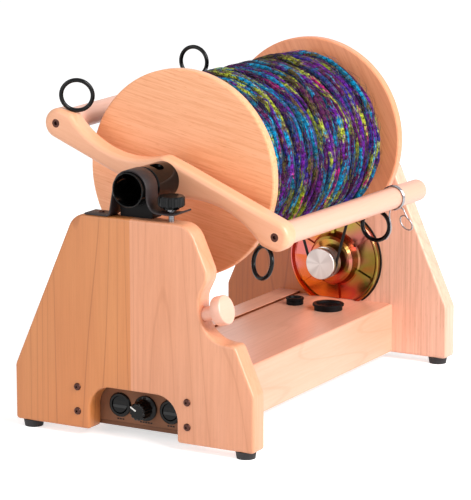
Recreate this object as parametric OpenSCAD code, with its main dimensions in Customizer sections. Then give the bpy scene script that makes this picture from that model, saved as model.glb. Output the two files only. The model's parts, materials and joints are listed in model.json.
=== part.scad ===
// Electric spinning wheel with a wide orifice, a bobbin driven by a belt and a free flyer.
// The axis of the flyer runs along Y, the orifice looks towards -Y and the floor is at z = 0.

/* [Frame] */
// Length over the two end panels
base_l = 514.8; // [470:1:580]
// Thickness of an end panel
panel_t = 25; // [22:0.5:30]
// Half width of an end panel at its foot
panel_half_w = 155.4; // [145:0.1:180]
// Height of the upright edge of a panel
panel_upright = 64.4; // [50:0.1:90]
// Half width of a panel at its top
panel_top_half = 74.3; // [66:0.1:90]
// Height of a panel
panel_h = 247; // [225:0.5:280]
// Radius of the top corners of a panel
panel_corner_r = 24; // [8:0.5:35]
// Radius worked onto the edges of the panels
edge_r = 3; // [1:0.5:5]
// Width of the arch over the controls
arch_w = 114; // [106:1:124]
// Height of the arch over the controls
arch_h = 51.3; // [46:0.1:52]
// Radius of the corners of the arch
arch_r = 27; // [10:0.5:30]
// Height of the lower lip of the notch
notch_low = 118.5; // [110:0.5:122]
// Height where the notch turns outwards
notch_bend = 168.9; // [160:0.1:176]
// Height of the upper lip of the notch
notch_high = 192.3; // [186:0.1:205]
// Depth of the notch at its lower lip
notch_d = 44.7; // [30:0.1:50]
// Radius of the bowl of the notch
notch_r = 35; // [25:0.5:38]
// Height of a rubber foot
foot_h = 8.5; // [5:0.5:20]
// Radius of a foot where it meets the panel
foot_r = 12; // [8:0.5:12.4]
// Distance of a foot from the middle plane
foot_x = 139; // [110:1:142]

/* [Box between the panels] */
// Half width of the box
box_half_w = 81.1; // [74:0.1:100]
// Height of the top face of the box
box_h = 62.2; // [60:0.1:66]
// Height of the underside of the box
box_floor = 1.8; // [1:0.1:4]
// Thickness of the top board
box_top_t = 9; // [6:0.5:10]
// Thickness of the side boards
box_side_t = 16; // [14:0.5:20]
// Thickness of the bottom board
box_bottom_t = 4.5; // [3:0.5:5]
// Width of the raised strip on the left of the top
strip_w = 31.1; // [20:0.1:45]
// Height of the raised strip above the top
strip_rise = 3; // [1:0.5:8]

/* [Controls] */
// Thickness of the control board
board_t = 3; // [2:0.5:5]
// Sideways place of the power switch
power_x = -30; // [-36:0.5:-26]
// Sideways place of the speed knob
speed_x = 3.5; // [-2:0.5:6]
// Sideways place of the direction switch
direction_x = 36; // [34:0.5:40]
// Height of the row of controls
controls_z = 26.8; // [24:0.1:30]
// Outer radius of a switch bezel
bezel_r = 14; // [12.5:0.5:15]
// How far a bezel stands out
bezel_proud = 2.5; // [1.5:0.5:4]
// Radius of a rocker
rocker_r = 9.2; // [8:0.1:9.4]
// How far the high end of a rocker swings
rocker_tilt = 8; // [4:0.5:9]
// Radius of the skirt of the speed knob
knob_skirt_r = 14.5; // [12:0.5:15]
// Radius of the cap of the speed knob
knob_cap_r = 10; // [7:0.5:11]
// How far the speed knob stands out
knob_proud = 17; // [12:0.5:22]

/* [Orifice and drag brake] */
// Height of the flyer axis above the panels
axis_rise = 33.2; // [31:0.1:53]
// Outer radius of the orifice tube
tube_r = 19.5; // [19:0.1:20.5]
// Bore radius of the orifice tube
tube_bore_r = 18; // [14:0.1:18.4]
// How far the orifice tube stands out in front
tube_proud = 6; // [2:0.5:14]
// Outer radius of the outlet collar
collar_r = 21; // [20.9:0.1:22.5]
// Distance of the outlet collar from the front face
collar_y = 28; // [27:0.5:33]
// Gap between the brake leather and the tube
brake_gap = 0.3; // [0.2:0.05:0.6]
// Width of the brake leather
strap_w = 24.5; // [18:0.5:25]
// Thickness of the brake leather
strap_t = 2; // [1.5:0.1:2.4]
// Half width of the saddle under the tube
saddle_half_w = 20.7; // [18:0.1:20.8]
// Distance of the saddle from the front face
saddle_y = 13; // [11:0.5:13.5]
// Sideways place of the brake stud
stud_x = 45.5; // [44:0.1:48]
// Distance of the brake stud from the front face
stud_y = 12.5; // [11:0.1:13]
// Radius of the brake stud
stud_r = 3.2; // [2.5:0.1:4]
// Radius of the brake knob
brake_knob_r = 15; // [11:0.5:18]
// Height of the brake knob
brake_knob_h = 15; // [10:0.5:20]

/* [Flyer] */
// Turn of the arm in the rest position
flyer_turn = 20.2; // [0:0.1:30]
// Distance of the arm from the front face
arm_y = 70.5; // [66:0.5:72]
// Thickness of the arm
arm_t = 25; // [20:0.5:27]
// Radius worked onto the edges of the arm
arm_edge_r = 6; // [2:0.5:8]
// Distance of an end circle from the axis
arm_reach = 150; // [138:0.5:160]
// Radius of the end circles
arm_end_r = 17.5; // [16:0.1:20]
// Half height of the hub
arm_hub = 23.5; // [22:0.1:26]
// Half width of the straight part of the hub
arm_hub_w = 13; // [8:0.5:16]
// Radius of the hollow edge of the arm
arm_hollow_r = 108; // [106:0.5:114]
// Radius of a flyer rod
rod_r = 13; // [11:0.1:14]
// How far the axis of a rod lies outside the centre of its end circle
rod_out = 1.3; // [0:0.1:3]
// Outward lean of a rod
rod_lean = 1.3; // [0:0.1:2]
// How far the rods end in front of the rear flange
rod_short = 5; // [0:1:20]
// Outer radius of the yarn rings
ring_r = 20.5; // [16:0.5:22]
// Radius of the wire of the yarn rings
ring_wire_r = 2.5; // [1.5:0.1:3.5]
// Turn of a fixed ring about its stem
ring_turn = 29; // [0:1:60]
// Distance of the sliding hooks from the free ends of the rods
hook_in = 65; // [20:1:200]
// Radius of the wire of the sliding hooks
clip_wire_r = 1; // [0.7:0.05:1.4]
// Gap between the wire of a hook and its rod
clip_gap = 0.3; // [0.2:0.05:0.6]
// Radius of the shaft of the flyer
shaft_r = 6; // [5:0.1:7]

/* [Bobbin and drive] */
// Radius of the bobbin flanges
flange_r = 119.45; // [112:0.05:121]
// Thickness of a bobbin flange
flange_t = 12; // [8:0.5:14]
// Distance of the front flange from the front face
bobbin_y = 110.7; // [108:0.1:114]
// Length of the whorl on the rear flange
whorl_l = 32; // [26:0.5:36]
// Gap between the whorl and the rear panel
whorl_gap = 21.8; // [19:0.1:30]
// Radius of the wooden core of the bobbin
core_r = 24; // [20:0.5:30]
// Radius over the wound yarn
yarn_r = 103.7; // [96:0.1:106]
// Least gap between two loops of the outer layer of yarn
loop_gap = 0.6; // [0.5:0.1:2]
// Radius of a strand of yarn
strand_r = 5.7; // [4:0.1:5.7]
// Radius of the belt line on the bobbin whorl
whorl_r = 65; // [55:0.5:72]
// Radius of the belt line on the motor pulley
pulley_line_r = 17.5; // [15:0.1:17.9]
// Radius of the motor pulley
pulley_r = 19.75; // [19.6:0.05:24]
// Radius of the belt
belt_r = 1.75; // [1.2:0.05:2.2]
// Sideways place of the motor
motor_x = 3; // [-6:0.5:8]
// Height of the motor axis
motor_z = 113.5; // [110:0.5:122]
// Radius of the end cap of the motor
cap_r = 62; // [58:0.5:68]
// Depth of the dished end cap
cap_d = 8.8; // [7:0.1:12]
// Radius of the body of the motor
can_r = 56; // [48:0.5:57]

/* [Loose pieces] */
// Radius of the knob of the threading hook
handle_r = 16.5; // [12:0.5:17]
// Radius of the dowel of the threading hook
dowel_r = 8; // [6:0.5:9]
// Radius of the flange of the large reducer
large_reducer_r = 19.5; // [16:0.5:24]
// Height of the large reducer
large_reducer_h = 8; // [6:0.5:12]
// Radius of the rim of the small reducer
small_reducer_r = 11.2; // [10.5:0.1:14]
// Height of the small reducer
small_reducer_h = 9; // [7:0.5:12]
// Radius of the hole in each reducer
reducer_bore_r = 5; // [4:0.1:5.5]

/* [Hidden] */
$fn = 64;

fit = 0.05;                                   // radial running fit of pins and shafts
loose = 0.4;                                  // gap between parts that only pass each other
over = 1;                                     // how far a cut runs past the face it opens
screw_proud = 2.4;
front_y = -(base_l + screw_proud - tube_proud) / 2;   // front face of the front panel
back_y = base_l - panel_t;                    // front face of the rear panel
axis_z = panel_h + axis_rise;
box_l = back_y - panel_t;
screw_r = 2.5;
screw_head_r = 4.3;
screw_x = box_half_w - box_side_t / 2 - 1.6;
screw_zs = [19.8, 48];
screw_l = 45;
bowl_x = slant_x(notch_low) - notch_d;
strip_top = box_h + strip_rise;
board_z = box_floor + box_bottom_t + 0.3;
hub_wall = 8.5;
collar_end_y = arm_y - hub_wall;
shaft_end_y = base_l - 12;
saddle_top = axis_z - 12.2;
whorl_y = back_y - whorl_gap - whorl_l;
belt_y = whorl_y + whorl_l / 2;
flange_back_y = whorl_y - flange_t;
winding_l = flange_back_y - flange_t - bobbin_y;
rod_x = arm_reach + rod_out;
rod_end_y = flange_back_y - rod_short;
hook_y = rod_end_y - hook_in;
bush_l = 14;
bush_wall = 10;
bush_r = shaft_r + bush_wall;
groove_floor = belt_r + 0.35;
groove_half = belt_r + 0.6;
pulley_l = 19;
pulley_y = belt_y - 8;
cap_y = back_y - cap_d;
cap_dish = 5;
boss_r = 30;
boss_h = 15;
rib_w = 5;
rib_angles = [35, 95, 155, 215, 275, 335];

function unit(v) = v / norm(v);
function slant_x(z) = panel_half_w - (z - panel_upright) * (panel_half_w - panel_top_half)
                                     / (panel_h - panel_upright);
function wrap(a) = a > 180 ? a - 360 : a < -180 ? a + 360 : a;

// Points of a corner at b, between a and c, rounded with radius r in n steps
function corner(a, b, c, r, n) = r <= 0 ? [b] :
    let (u = unit(a - b), v = unit(c - b), half = acos(u * v) / 2,
         m = b + unit(u + v) * r / sin(half),
         p = b + u * r / tan(half) - m, q = b + v * r / tan(half) - m,
         t = atan2(p[1], p[0]), turn = wrap(atan2(q[1], q[0]) - t))
    [for (i = [0:n]) m + r * [cos(t + turn * i / n), sin(t + turn * i / n)]];

// Outline through corners given as [x, y, radius, steps]
function outline(c) = [for (i = [0:len(c) - 1])
    let (a = c[(i + len(c) - 1) % len(c)], b = c[i], d = c[(i + 1) % len(c)])
    each corner([a[0], a[1]], [b[0], b[1]], [d[0], d[1]], b[2], b[3])];

// Outline drawn in by d on every side
function inset(p, d) = [for (i = [0:len(p) - 1])
    let (n = len(p), u = unit(p[i] - p[(i + n - 1) % n]), v = unit(p[(i + 1) % n] - p[i]))
    p[i] + d * [-u[1] - v[1], u[0] + v[0]] / (1 + u * v)];

module at_frame() { translate([0, front_y, foot_h]) children(); }
module at_axis() { at_frame() translate([0, 0, axis_z]) children(); }
module at_flyer() { at_axis() rotate([0, flyer_turn, 0]) children(); }

// Flat shape standing in the XZ plane, from y over a thickness of t
module plate(y, t) { translate([0, y + t, 0]) rotate([90, 0, 0]) linear_extrude(t) children(); }

// Round bar along Y
module bar(r, y, l) { translate([0, y, 0]) rotate([-90, 0, 0]) cylinder(r = r, h = l); }

// Revolved profile of [radius, y] points round the Y axis
module turned(profile) { rotate([-90, 0, 0]) rotate_extrude($fn = 96) polygon(profile); }

// Slab with all its edges rounded, standing in the XZ plane; fill names the faces of its flat
// sides by their corners' places in the outline
module soft_slab(p, y, t, r, steps, fill = undef) {
    n = len(p);
    flat = is_undef(fill) ? [[for (i = [0:n - 1]) i]] : fill;
    turns = [for (k = [0:steps]) 90 * k / steps];
    low = [for (a = turns) [r * (1 - cos(a)), r * (1 - sin(a))]];
    rows = concat(low, [for (k = [steps:-1:0]) [t - low[k][0], low[k][1]]]);
    loops = [for (w = rows) let (q = inset(p, w[1])) each [for (e = q) [e[0], e[1], w[0]]]];
    last = len(rows) - 1;
    sides = [for (k = [0:last - 1], i = [0:n - 1]) let (j = (i + 1) % n)
        [k * n + i, (k + 1) * n + i, (k + 1) * n + j, k * n + j]];
    back = [for (f = flat) [for (i = [len(f) - 1:-1:0]) last * n + f[i]]];
    translate([0, y + t, 0]) rotate([90, 0, 0])
        polyhedron(loops, concat(flat, back, sides), convexity = 8);
}

// End panels
panel_knee_r = 12;
panel_foot_r = 4;
panel_left = [
    [-panel_half_w, panel_upright, panel_knee_r, 3],
    [-panel_half_w, 0, panel_foot_r, 3]];
panel_top = [
    [panel_top_half, panel_h, panel_corner_r, 7],
    [-panel_top_half, panel_h, panel_corner_r, 7]];
arch_x = 1;
arch_left = arch_x - arch_w / 2;
arch_right = arch_x + arch_w / 2;
notch_lip_r = 8;
notch_bend_r = 25;
notch_head_r = 20;
notch_run = 34;
notch_skin = 0.4;
notch_out = unit([panel_h - panel_upright, panel_half_w - panel_top_half]);
function beside_slant(z, d) = [slant_x(z), z] + d * notch_out;
notch_foot = beside_slant(notch_low - notch_run, notch_skin);
notch_head = beside_slant(notch_high + notch_run, notch_skin);
notch_cut = outline([
    [notch_foot[0], notch_foot[1], 0, 1],
    [slant_x(notch_low), notch_low, notch_lip_r, 6],
    [bowl_x, notch_low, notch_r, 12],
    [bowl_x, notch_bend, notch_bend_r, 5],
    [slant_x(notch_high), notch_high, notch_head_r, 7],
    [notch_head[0], notch_head[1], 0, 1],
    [notch_head[0] + notch_run, notch_head[1], 0, 1],
    [notch_foot[0] + notch_run, notch_foot[1], 0, 1]]);
arch_cut = outline([
    [arch_left, -over, 0, 1],
    [arch_right, -over, 0, 1],
    [arch_right, arch_h, arch_r, 10],
    [arch_left, arch_h, arch_r, 10]]);
panel_outline = outline(concat([
    [panel_half_w, 0, panel_foot_r, 3],
    [panel_half_w, panel_upright, panel_knee_r, 3]], panel_top, panel_left));

handle_z = 148.4;
handle_lean = 17.2;
handle_x = bowl_x + 4.6;
dowel_l = 30;
stud_in = 30;
stud_out = 13;
strap_screw_r = 1.5;
strap_screw_in = 14;
can_gap = 0.5;
wire_l = 62;
wire_r = 1.2;

// Frame of the threading hook, with its axis along X from the mouth of the bore
module at_handle() {
    at_frame() translate([handle_x, panel_t / 2, handle_z]) rotate([0, -handle_lean, 0]) children();
}

module along_x(r, x, l) { translate([x, 0, 0]) rotate([0, 90, 0]) cylinder(r = r, h = l); }

module panel_bores(y) {
    for (s = [-1, 1], z = screw_zs)
        translate([s * screw_x, 0, z]) bar(screw_r, y, panel_t + 2 * over);
}

module front_panel() {
    color("burlywood") difference() {
        at_frame() soft_slab(panel_outline, 0, panel_t, edge_r, 2);
        at_frame() plate(-over, panel_t + 2 * over) polygon(notch_cut);
        at_frame() plate(-over, panel_t + 2 * over) polygon(arch_cut);
        at_frame() panel_bores(-over);
        at_frame() translate([stud_x, stud_y, panel_h - stud_in])
            cylinder(r = stud_r, h = stud_in + over);
        at_frame() translate([strap_screw_x, stud_y, panel_h - strap_screw_in])
            cylinder(r = strap_screw_r, h = strap_screw_in + over);
        at_handle() {
            along_x(dowel_r + fit, -dowel_l, dowel_l + notch_d);
            along_x(3 * wire_r, -dowel_l - wire_l - over, wire_l + 2 * over);
        }
    }
}

module rear_panel() {
    color("burlywood") difference() {
        at_frame() soft_slab(panel_outline, back_y, panel_t, edge_r, 2);
        at_frame() panel_bores(back_y - over);
        at_frame() translate([motor_x, 0, motor_z]) 
            bar(can_r + can_gap, back_y - over, panel_t + 2 * over);
        at_frame() translate([inlet_x, 0, inlet_z]) 
            bar(inlet_r, back_y - over, panel_t + 2 * over);
    }
}

// Box boards
module box_top() {
    low = box_h - box_top_t;
    color("bisque") at_frame() plate(panel_t, box_l) polygon(outline([
        [strip_w - box_half_w, low, 0, 1],
        [box_half_w, low, 0, 1],
        [box_half_w, box_h, edge_r, 4],
        [strip_w - box_half_w, box_h, 0, 1]]));
}

module top_strip() {
    low = box_h - box_top_t;
    color("bisque") at_frame() plate(panel_t, box_l) polygon(outline([
        [-box_half_w, low, 0, 1],
        [strip_w - box_half_w, low, 0, 1],
        [strip_w - box_half_w, strip_top, strip_rise / 3, 3],
        [-box_half_w, strip_top, edge_r, 4]]));
}

module side_board(s) {
    low = box_h - box_top_t;
    x = s > 0 ? box_half_w - box_side_t : -box_half_w;
    difference() {
        plate(panel_t, box_l) translate([x, box_floor]) square([box_side_t, low - box_floor]);
        for (z = screw_zs) translate([s * screw_x, 0, z]) {
            bar(screw_r, panel_t - over, screw_l - panel_t + over);
            bar(screw_r, base_l - screw_l, screw_l);
        }
    }
}

module box_right_side() { color("bisque") at_frame() side_board(1); }

module box_left_side() { color("bisque") at_frame() side_board(-1); }

module box_bottom() {
    w = box_half_w - box_side_t;
    color("bisque") at_frame() translate([-w, panel_t, box_floor])
        cube([2 * w, box_l, box_bottom_t]);
}

module panel_screw(x, z, y) {
    translate([x, y, z]) difference() {
        union() {
            turned([[0, -screw_proud], [screw_head_r - 1.7, -screw_proud],
                    [screw_head_r - 0.5, 0.8 - screw_proud], [screw_head_r, -0.6],
                    [screw_head_r, 0], [0, 0]]);
            bar(screw_r, 0, screw_l);
        }
        rotate([-90, 0, 0]) translate([0, 0, -3]) cylinder(r = 1.6, h = 2.2, $fn = 6);
    }
}

module front_panel_screws() {
    color("saddlebrown") at_frame() for (s = [-1, 1], z = screw_zs)
        panel_screw(s * screw_x, z, 0);
}

module rear_panel_screws() {
    color("saddlebrown") at_frame() for (s = [-1, 1], z = screw_zs)
        translate([0, 2 * base_l, 0]) mirror([0, 1, 0]) panel_screw(s * screw_x, z, base_l);
}

module feet() {
    color("black") at_frame() for (s = [-1, 1], y = [panel_t / 2, base_l - panel_t / 2])
        translate([s * foot_x, y, -foot_h]) difference() {
            cylinder(r1 = foot_r - 1.5, r2 = foot_r, h = foot_h);
            translate([0, 0, -1]) cylinder(r = foot_r / 3, h = foot_h * 0.6 + 1);
        }
}

// Controls under the arch
inlet_x = -38;
inlet_z = 28;
inlet_r = 7;
rocker_y = panel_t + 2;
rocker_pin_r = 1;
barrel_r = 11.5;
pocket_r = rocker_r + 1.1;
bush_hole_r = 4;
spindle_r = 3;
spindle_end = panel_t + 13;
circuit_w = 90;
circuit_l = 120;
circuit_t = 1.6;
circuit_back = 30;
pillar_h = 6;
pillar_r = 3;
pillar_in = 7;
chip_w = 14;

module control_board() {
    w = box_half_w - box_side_t;
    color("rosybrown") at_frame() difference() {
        translate([-w, panel_t, board_z])
            cube([2 * w, board_t, box_h - box_top_t - board_z]);
        for (x = [power_x, direction_x])
            translate([x, 0, controls_z]) bar(barrel_r, panel_t - over, board_t + 2 * over);
        translate([speed_x, 0, controls_z]) bar(bush_hole_r, panel_t - over, board_t + 2 * over);
    }
}

module circuit_board() {
    floor_z = box_floor + box_bottom_t;
    top = pillar_h + circuit_t;
    pillar_x = circuit_w / 2 - pillar_in;
    color("seagreen") at_frame() translate([0, panel_t + circuit_back, floor_z]) {
        for (s = [-1, 1], y = [pillar_in, circuit_l - pillar_in])
            translate([s * pillar_x, y, 0]) cylinder(r = pillar_r, h = pillar_h);
        translate([-circuit_w / 2, 0, pillar_h]) cube([circuit_w, circuit_l, circuit_t]);
        translate([-chip_w, chip_w, top]) cube([chip_w, chip_w, 4]);
        translate([chip_w, circuit_l / 2, top]) cylinder(r = 6, h = 14);
        translate([-2 * chip_w, circuit_l * 2 / 3, top]) cube([1.5 * chip_w, chip_w, 10]);
    }
}

module speed_pot() {
    color("dimgray") at_frame() translate([speed_x, 0, controls_z]) difference() {
        union() {
            bar(8, panel_t + board_t, 12);
            bar(bush_hole_r, panel_t - 2.5, board_t + 2.5);
        }
        bar(spindle_r + fit, panel_t - 4, spindle_end - panel_t + 4.3);
    }
}

module switch_body(x) {
    at_frame() translate([x, 0, controls_z]) {
        difference() {
            union() {
                turned([[0, panel_t], [bezel_r, panel_t], [bezel_r, panel_t - bezel_proud + 1],
                        [bezel_r - 1.2, panel_t - bezel_proud], [0, panel_t - bezel_proud]]);
                bar(barrel_r, panel_t, 18);
            }
            bar(pocket_r, panel_t - bezel_proud - 1, 11);
        }
        translate([0, rocker_y, 0]) along_x(rocker_pin_r, -pocket_r, 2 * pocket_r);
    }
}

module power_switch_body() { color("black") switch_body(power_x); }

module direction_switch_body() { color("black") switch_body(direction_x); }

// Rocker on its pin, with its upper half pressed in
module rocker(x) {
    at_frame() translate([x, rocker_y, controls_z]) rotate([-rocker_tilt, 0, 0]) difference() {
        bar(rocker_r, -4, 7);
        translate([0, -14.3, 0]) along_x(11, -rocker_r - 1, 2 * rocker_r + 2);
        along_x(rocker_pin_r + fit, -rocker_r - 1, 2 * rocker_r + 2);
    }
}

module power_rocker() { color("black") rocker(power_x); }

module direction_rocker() { color("black") rocker(direction_x); }

module speed_knob() {
    face = panel_t - knob_proud;
    back = panel_t - 0.5;
    color("black") at_frame() translate([speed_x, 0, controls_z]) difference() {
        turned([[0, back], [knob_skirt_r, back], [knob_skirt_r, back - 2.2],
                [knob_cap_r + 1, back - 4], [knob_cap_r, face + 1.2], [knob_cap_r - 1.2, face],
                [0, face]]);
        bar(bush_hole_r + 1, panel_t - 3.2, 4);
        bar(spindle_r, face + 3, knob_proud);
        for (a = [0:30:330]) rotate([0, a, 0]) translate([knob_cap_r + 0.9, 0, 0])
            bar(1.3, face - 1, knob_proud - 6);
    }
}

module speed_spindle() {
    face = panel_t - knob_proud;
    color("silver") at_frame() translate([speed_x, 0, controls_z])
        bar(spindle_r, face + 3, spindle_end - face - 3);
}

// Saddle, leather and stud of the drag brake
strap_screw_x = -45;
strap_mid = tube_r + brake_gap + strap_t / 2;
strap_start_x = -59;
strap_foot = [-27, panel_h + strap_t / 2];
strap_rise = 9.6;
strap_low = [37.5, panel_h + strap_rise];
strap_end = [69.5, panel_h + strap_rise + 7.2];
strap_seat = panel_h + strap_rise + 0.3 + strap_t;
strap_front = -1;
saddle_l = 19;
washer_t = 1.2;
washer_z = strap_seat + 0.3;
knob_z = washer_z + washer_t + 0.3;
knob_hub_h = 3;
flutes = 14;

module saddle_block() {
    color("dimgray") at_frame() difference() {
        plate(saddle_y, saddle_l) translate([-saddle_half_w, panel_h])
            square([2 * saddle_half_w, saddle_top - panel_h]);
        translate([0, 0, axis_z]) {
            bar(tube_r + brake_gap, saddle_y - over, saddle_l + 2 * over);
            bar(collar_r + loose, collar_y - loose, saddle_l);
        }
    }
}

function bezier(p, t) = pow(1 - t, 3) * p[0] + 3 * pow(1 - t, 2) * t * p[1]
                        + 3 * (1 - t) * t * t * p[2] + t * t * t * p[3];

// Centre line of the leather, from its screwed tab to its free end
function strap_path() = let (c = [0, axis_z], d = strap_foot - c,
                             t = atan2(d[1], d[0]) + 360 - acos(strap_mid / norm(d)))
    concat([[strap_start_x, strap_foot[1]]],
           corner([strap_start_x, strap_foot[1]], strap_foot, c + strap_mid * [cos(t), sin(t)], 5, 5),
           [for (i = [0:26]) let (a = t * (1 - i / 26)) c + strap_mid * [cos(a), sin(a)]],
           [for (i = [1:10]) bezier([c + [strap_mid, 0], [strap_mid, strap_low[1] + 5.4],
                                     strap_low + [-10.5, -0.2], strap_low], i / 10)],
           [for (i = [1:8]) bezier([strap_low, strap_low + [12.5, 0],
                                    strap_end + [-9.5, -5.3], strap_end], i / 8)]);

// Both edges of a band of thickness t along an open path
function band(p, t) = let (n = len(p),
    m = [for (i = [0:n - 1]) let (u = unit(p[min(i + 1, n - 1)] - p[max(i - 1, 0)]))
         [-u[1], u[0]] * t / 2])
    concat([for (i = [0:n - 1]) p[i] - m[i]], [for (i = [n - 1:-1:0]) p[i] + m[i]]);

module tension_strap() {
    color("#2b2220") at_frame() difference() {
        plate(strap_front, strap_w) polygon(band(strap_path(), strap_t));
        translate([stud_x, stud_y, panel_h]) cylinder(r = stud_r + 1, h = axis_rise);
        translate([strap_screw_x, stud_y, panel_h - over])
            cylinder(r = strap_screw_r, h = strap_t + 2 * over);
    }
}

module strap_screw() {
    color("saddlebrown") at_frame() translate([strap_screw_x, stud_y, panel_h]) {
        translate([0, 0, -strap_screw_in])
            cylinder(r = strap_screw_r, h = strap_screw_in + strap_t);
        translate([0, 0, strap_t]) difference() {
            cylinder(r1 = 4.2, r2 = 3, h = 1.6);
            translate([0, 0, 0.6]) cylinder(r = 1.3, h = 2, $fn = 6);
        }
    }
}

module tension_stud() {
    color("gray") at_frame() translate([stud_x, stud_y, panel_h]) {
        translate([0, 0, -stud_in])
            cylinder(r = stud_r, h = stud_in + knob_z - panel_h + stud_out);
        cylinder(r = 6.6, h = 1.2);
        translate([0, 0, 1.2]) cylinder(r = 5.6, h = 4.2, $fn = 6);
    }
}

module brake_washer() {
    color("silver") at_frame() translate([stud_x, stud_y, washer_z]) difference() {
        cylinder(r = 6, h = washer_t);
        translate([0, 0, -over]) cylinder(r = stud_r + fit, h = washer_t + 2 * over);
    }
}

module brake_knob() {
    color("black") at_frame() translate([stud_x, stud_y, knob_z]) difference() {
        union() {
            cylinder(r = brake_knob_r - 6, h = knob_hub_h);
            rotate_extrude($fn = 96) polygon([
                [0, knob_hub_h], [brake_knob_r - 1.5, knob_hub_h],
                [brake_knob_r, knob_hub_h + 1.5], [brake_knob_r, brake_knob_h - 1.5],
                [brake_knob_r - 1.5, brake_knob_h], [0, brake_knob_h]]);
        }
        translate([0, 0, -over]) cylinder(r = stud_r + fit, h = over + stud_out + 0.5);
        for (i = [0:flutes - 1]) rotate([0, 0, i * 360 / flutes])
            translate([brake_knob_r + 0.9, 0, knob_hub_h - over])
                cylinder(r = 2, h = brake_knob_h);
    }
}

// Bearing on the rear panel
bearing_y = back_y + 4;
bearing_l = shaft_end_y - bearing_y + 0.5;
bearing_r = shaft_r + 7;
block_half_w = bearing_r + 7;
block_foot_w = block_half_w + 4;
block_foot_h = panel_h + 8;
block_back = 6;

module rear_bearing_block() {
    top = axis_z + block_half_w;
    color("dimgray") at_frame() difference() {
        plate(bearing_y, bearing_l + block_back) polygon(outline([
            [-block_foot_w, panel_h, 0, 1], [block_foot_w, panel_h, 0, 1],
            [block_foot_w, block_foot_h, 3, 3], [block_half_w, block_foot_h + 2, 3, 3],
            [block_half_w, top, block_half_w - 2, 8], [-block_half_w, top, block_half_w - 2, 8],
            [-block_half_w, block_foot_h + 2, 3, 3], [-block_foot_w, block_foot_h, 3, 3]]));
        translate([0, 0, axis_z]) bar(bearing_r, bearing_y - over, bearing_l + over);
    }
}

module rear_bearing() {
    color("silver") at_axis() difference() {
        bar(bearing_r, bearing_y, bearing_l);
        bar(shaft_r + fit, bearing_y - over, bearing_l + 2 * over);
    }
}

// Motor in the rear panel
rib_h = 3;
rib_from = boss_r + 1.5;
rib_to = cap_r - 7;
rib_outline = outline([for (e = [[rib_from, -1], [rib_to, -1], [rib_to, 1], [rib_from, 1]])
    [e[0], e[1] * rib_w / 2, rib_w / 2 - 0.1, 4]]);

module motor_cap() {
    floor_y = cap_y + cap_dish;
    boss_y = floor_y - boss_h;
    color("orange") at_frame() translate([motor_x, 0, motor_z]) difference() {
        union() {
            turned([[0, back_y], [cap_r, back_y], [cap_r, cap_y + 1], [cap_r - 1, cap_y],
                    [cap_r - 2.5, cap_y], [cap_r - cap_dish, floor_y - 1], [cap_r - 6.5, floor_y],
                    [boss_r + 5, floor_y], [boss_r + 3, floor_y - 1.5], [boss_r, boss_y + 3],
                    [boss_r - 3, boss_y], [0, boss_y]]);
            for (a = rib_angles) rotate([0, -a, 0])
                plate(floor_y - rib_h, rib_h + 1) polygon(rib_outline);
        }
        bar(motor_shaft_r + fit, boss_y - over, cap_d + boss_h);
        translate([-cap_r - over, cap_y - over, -cap_r - over])
            cube([2 * (cap_r + over), cap_d + 2 * over, cap_r + over - motor_z + box_h + loose]);
    }
}

motor_shaft_r = 4;
motor_shaft_end = back_y + 15;

module motor_can() {
    color("gray") at_frame() translate([motor_x, 0, motor_z]) difference() {
        turned([[0, back_y], [can_r, back_y], [can_r, base_l - 3.5], [can_r - 1.5, base_l - 2],
                [0, base_l - 2]]);
        bar(motor_shaft_r + fit, back_y - 1, motor_shaft_end - back_y + 1.4);
    }
}

module motor_shaft() {
    color("silver") at_frame() translate([motor_x, 0, motor_z])
        bar(motor_shaft_r, pulley_y + 3, motor_shaft_end - pulley_y - 3);
}

module motor_pulley() {
    floor_r = pulley_line_r - groove_floor;
    y = belt_y - pulley_y;
    color("silver") at_frame() translate([motor_x, pulley_y, motor_z]) difference() {
        turned([[0, 0], [pulley_r - 0.8, 0], [pulley_r, 0.8], [pulley_r, y - groove_half - 0.8],
                [floor_r, y - groove_half], [floor_r, y + groove_half],
                [pulley_r, y + groove_half + 0.8], [pulley_r, pulley_l - 0.8],
                [pulley_r - 0.8, pulley_l], [0, pulley_l]]);
        bar(motor_shaft_r, 3, pulley_l);
    }
}

module power_inlet() {
    color("black") at_frame() translate([inlet_x, 0, inlet_z]) difference() {
        union() {
            bar(inlet_r, back_y - 10, panel_t + 9);
            bar(inlet_r + 2.5, back_y - 10, 10);
        }
        bar(3.2, base_l - 12, 14);
    }
}

// Belt from the whorl of the bobbin to the motor pulley
belt_d = [motor_x, motor_z - axis_z];
belt_fall = atan2(belt_d[1], belt_d[0]);
belt_wrap = acos((whorl_r - pulley_line_r) / norm(belt_d));

// Centre line of the belt as [centre, outward direction], round the whorl and then the pulley
function belt_turn(c, r, from, sweep, n) = [for (i = [0:n]) let (a = from + sweep * i / n)
    [c + r * [cos(a), sin(a)], [cos(a), sin(a)]]];
belt_path = concat(
    belt_turn([0, axis_z], whorl_r, belt_fall + belt_wrap, 360 - 2 * belt_wrap, 40),
    belt_turn([motor_x, motor_z], pulley_line_r, belt_fall - belt_wrap, 2 * belt_wrap, 14));

module drive_belt() {
    n = 10;
    m = len(belt_path);
    points = [for (p = belt_path, i = [0:n - 1]) let (b = i * 360 / n, d = belt_r * cos(b))
        [p[0][0] + d * p[1][0], belt_y + belt_r * sin(b), p[0][1] + d * p[1][1]]];
    walls = [for (k = [0:m - 1], i = [0:n - 1])
        let (j = (i + 1) % n, a = k * n + i, b = k * n + j,
             c = (k + 1) % m * n + j, d = (k + 1) % m * n + i)
        each [[a, b, c], [a, c, d]]];
    color("#1c1c1e") at_frame() polyhedron(points, walls, convexity = 6);
}

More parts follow.
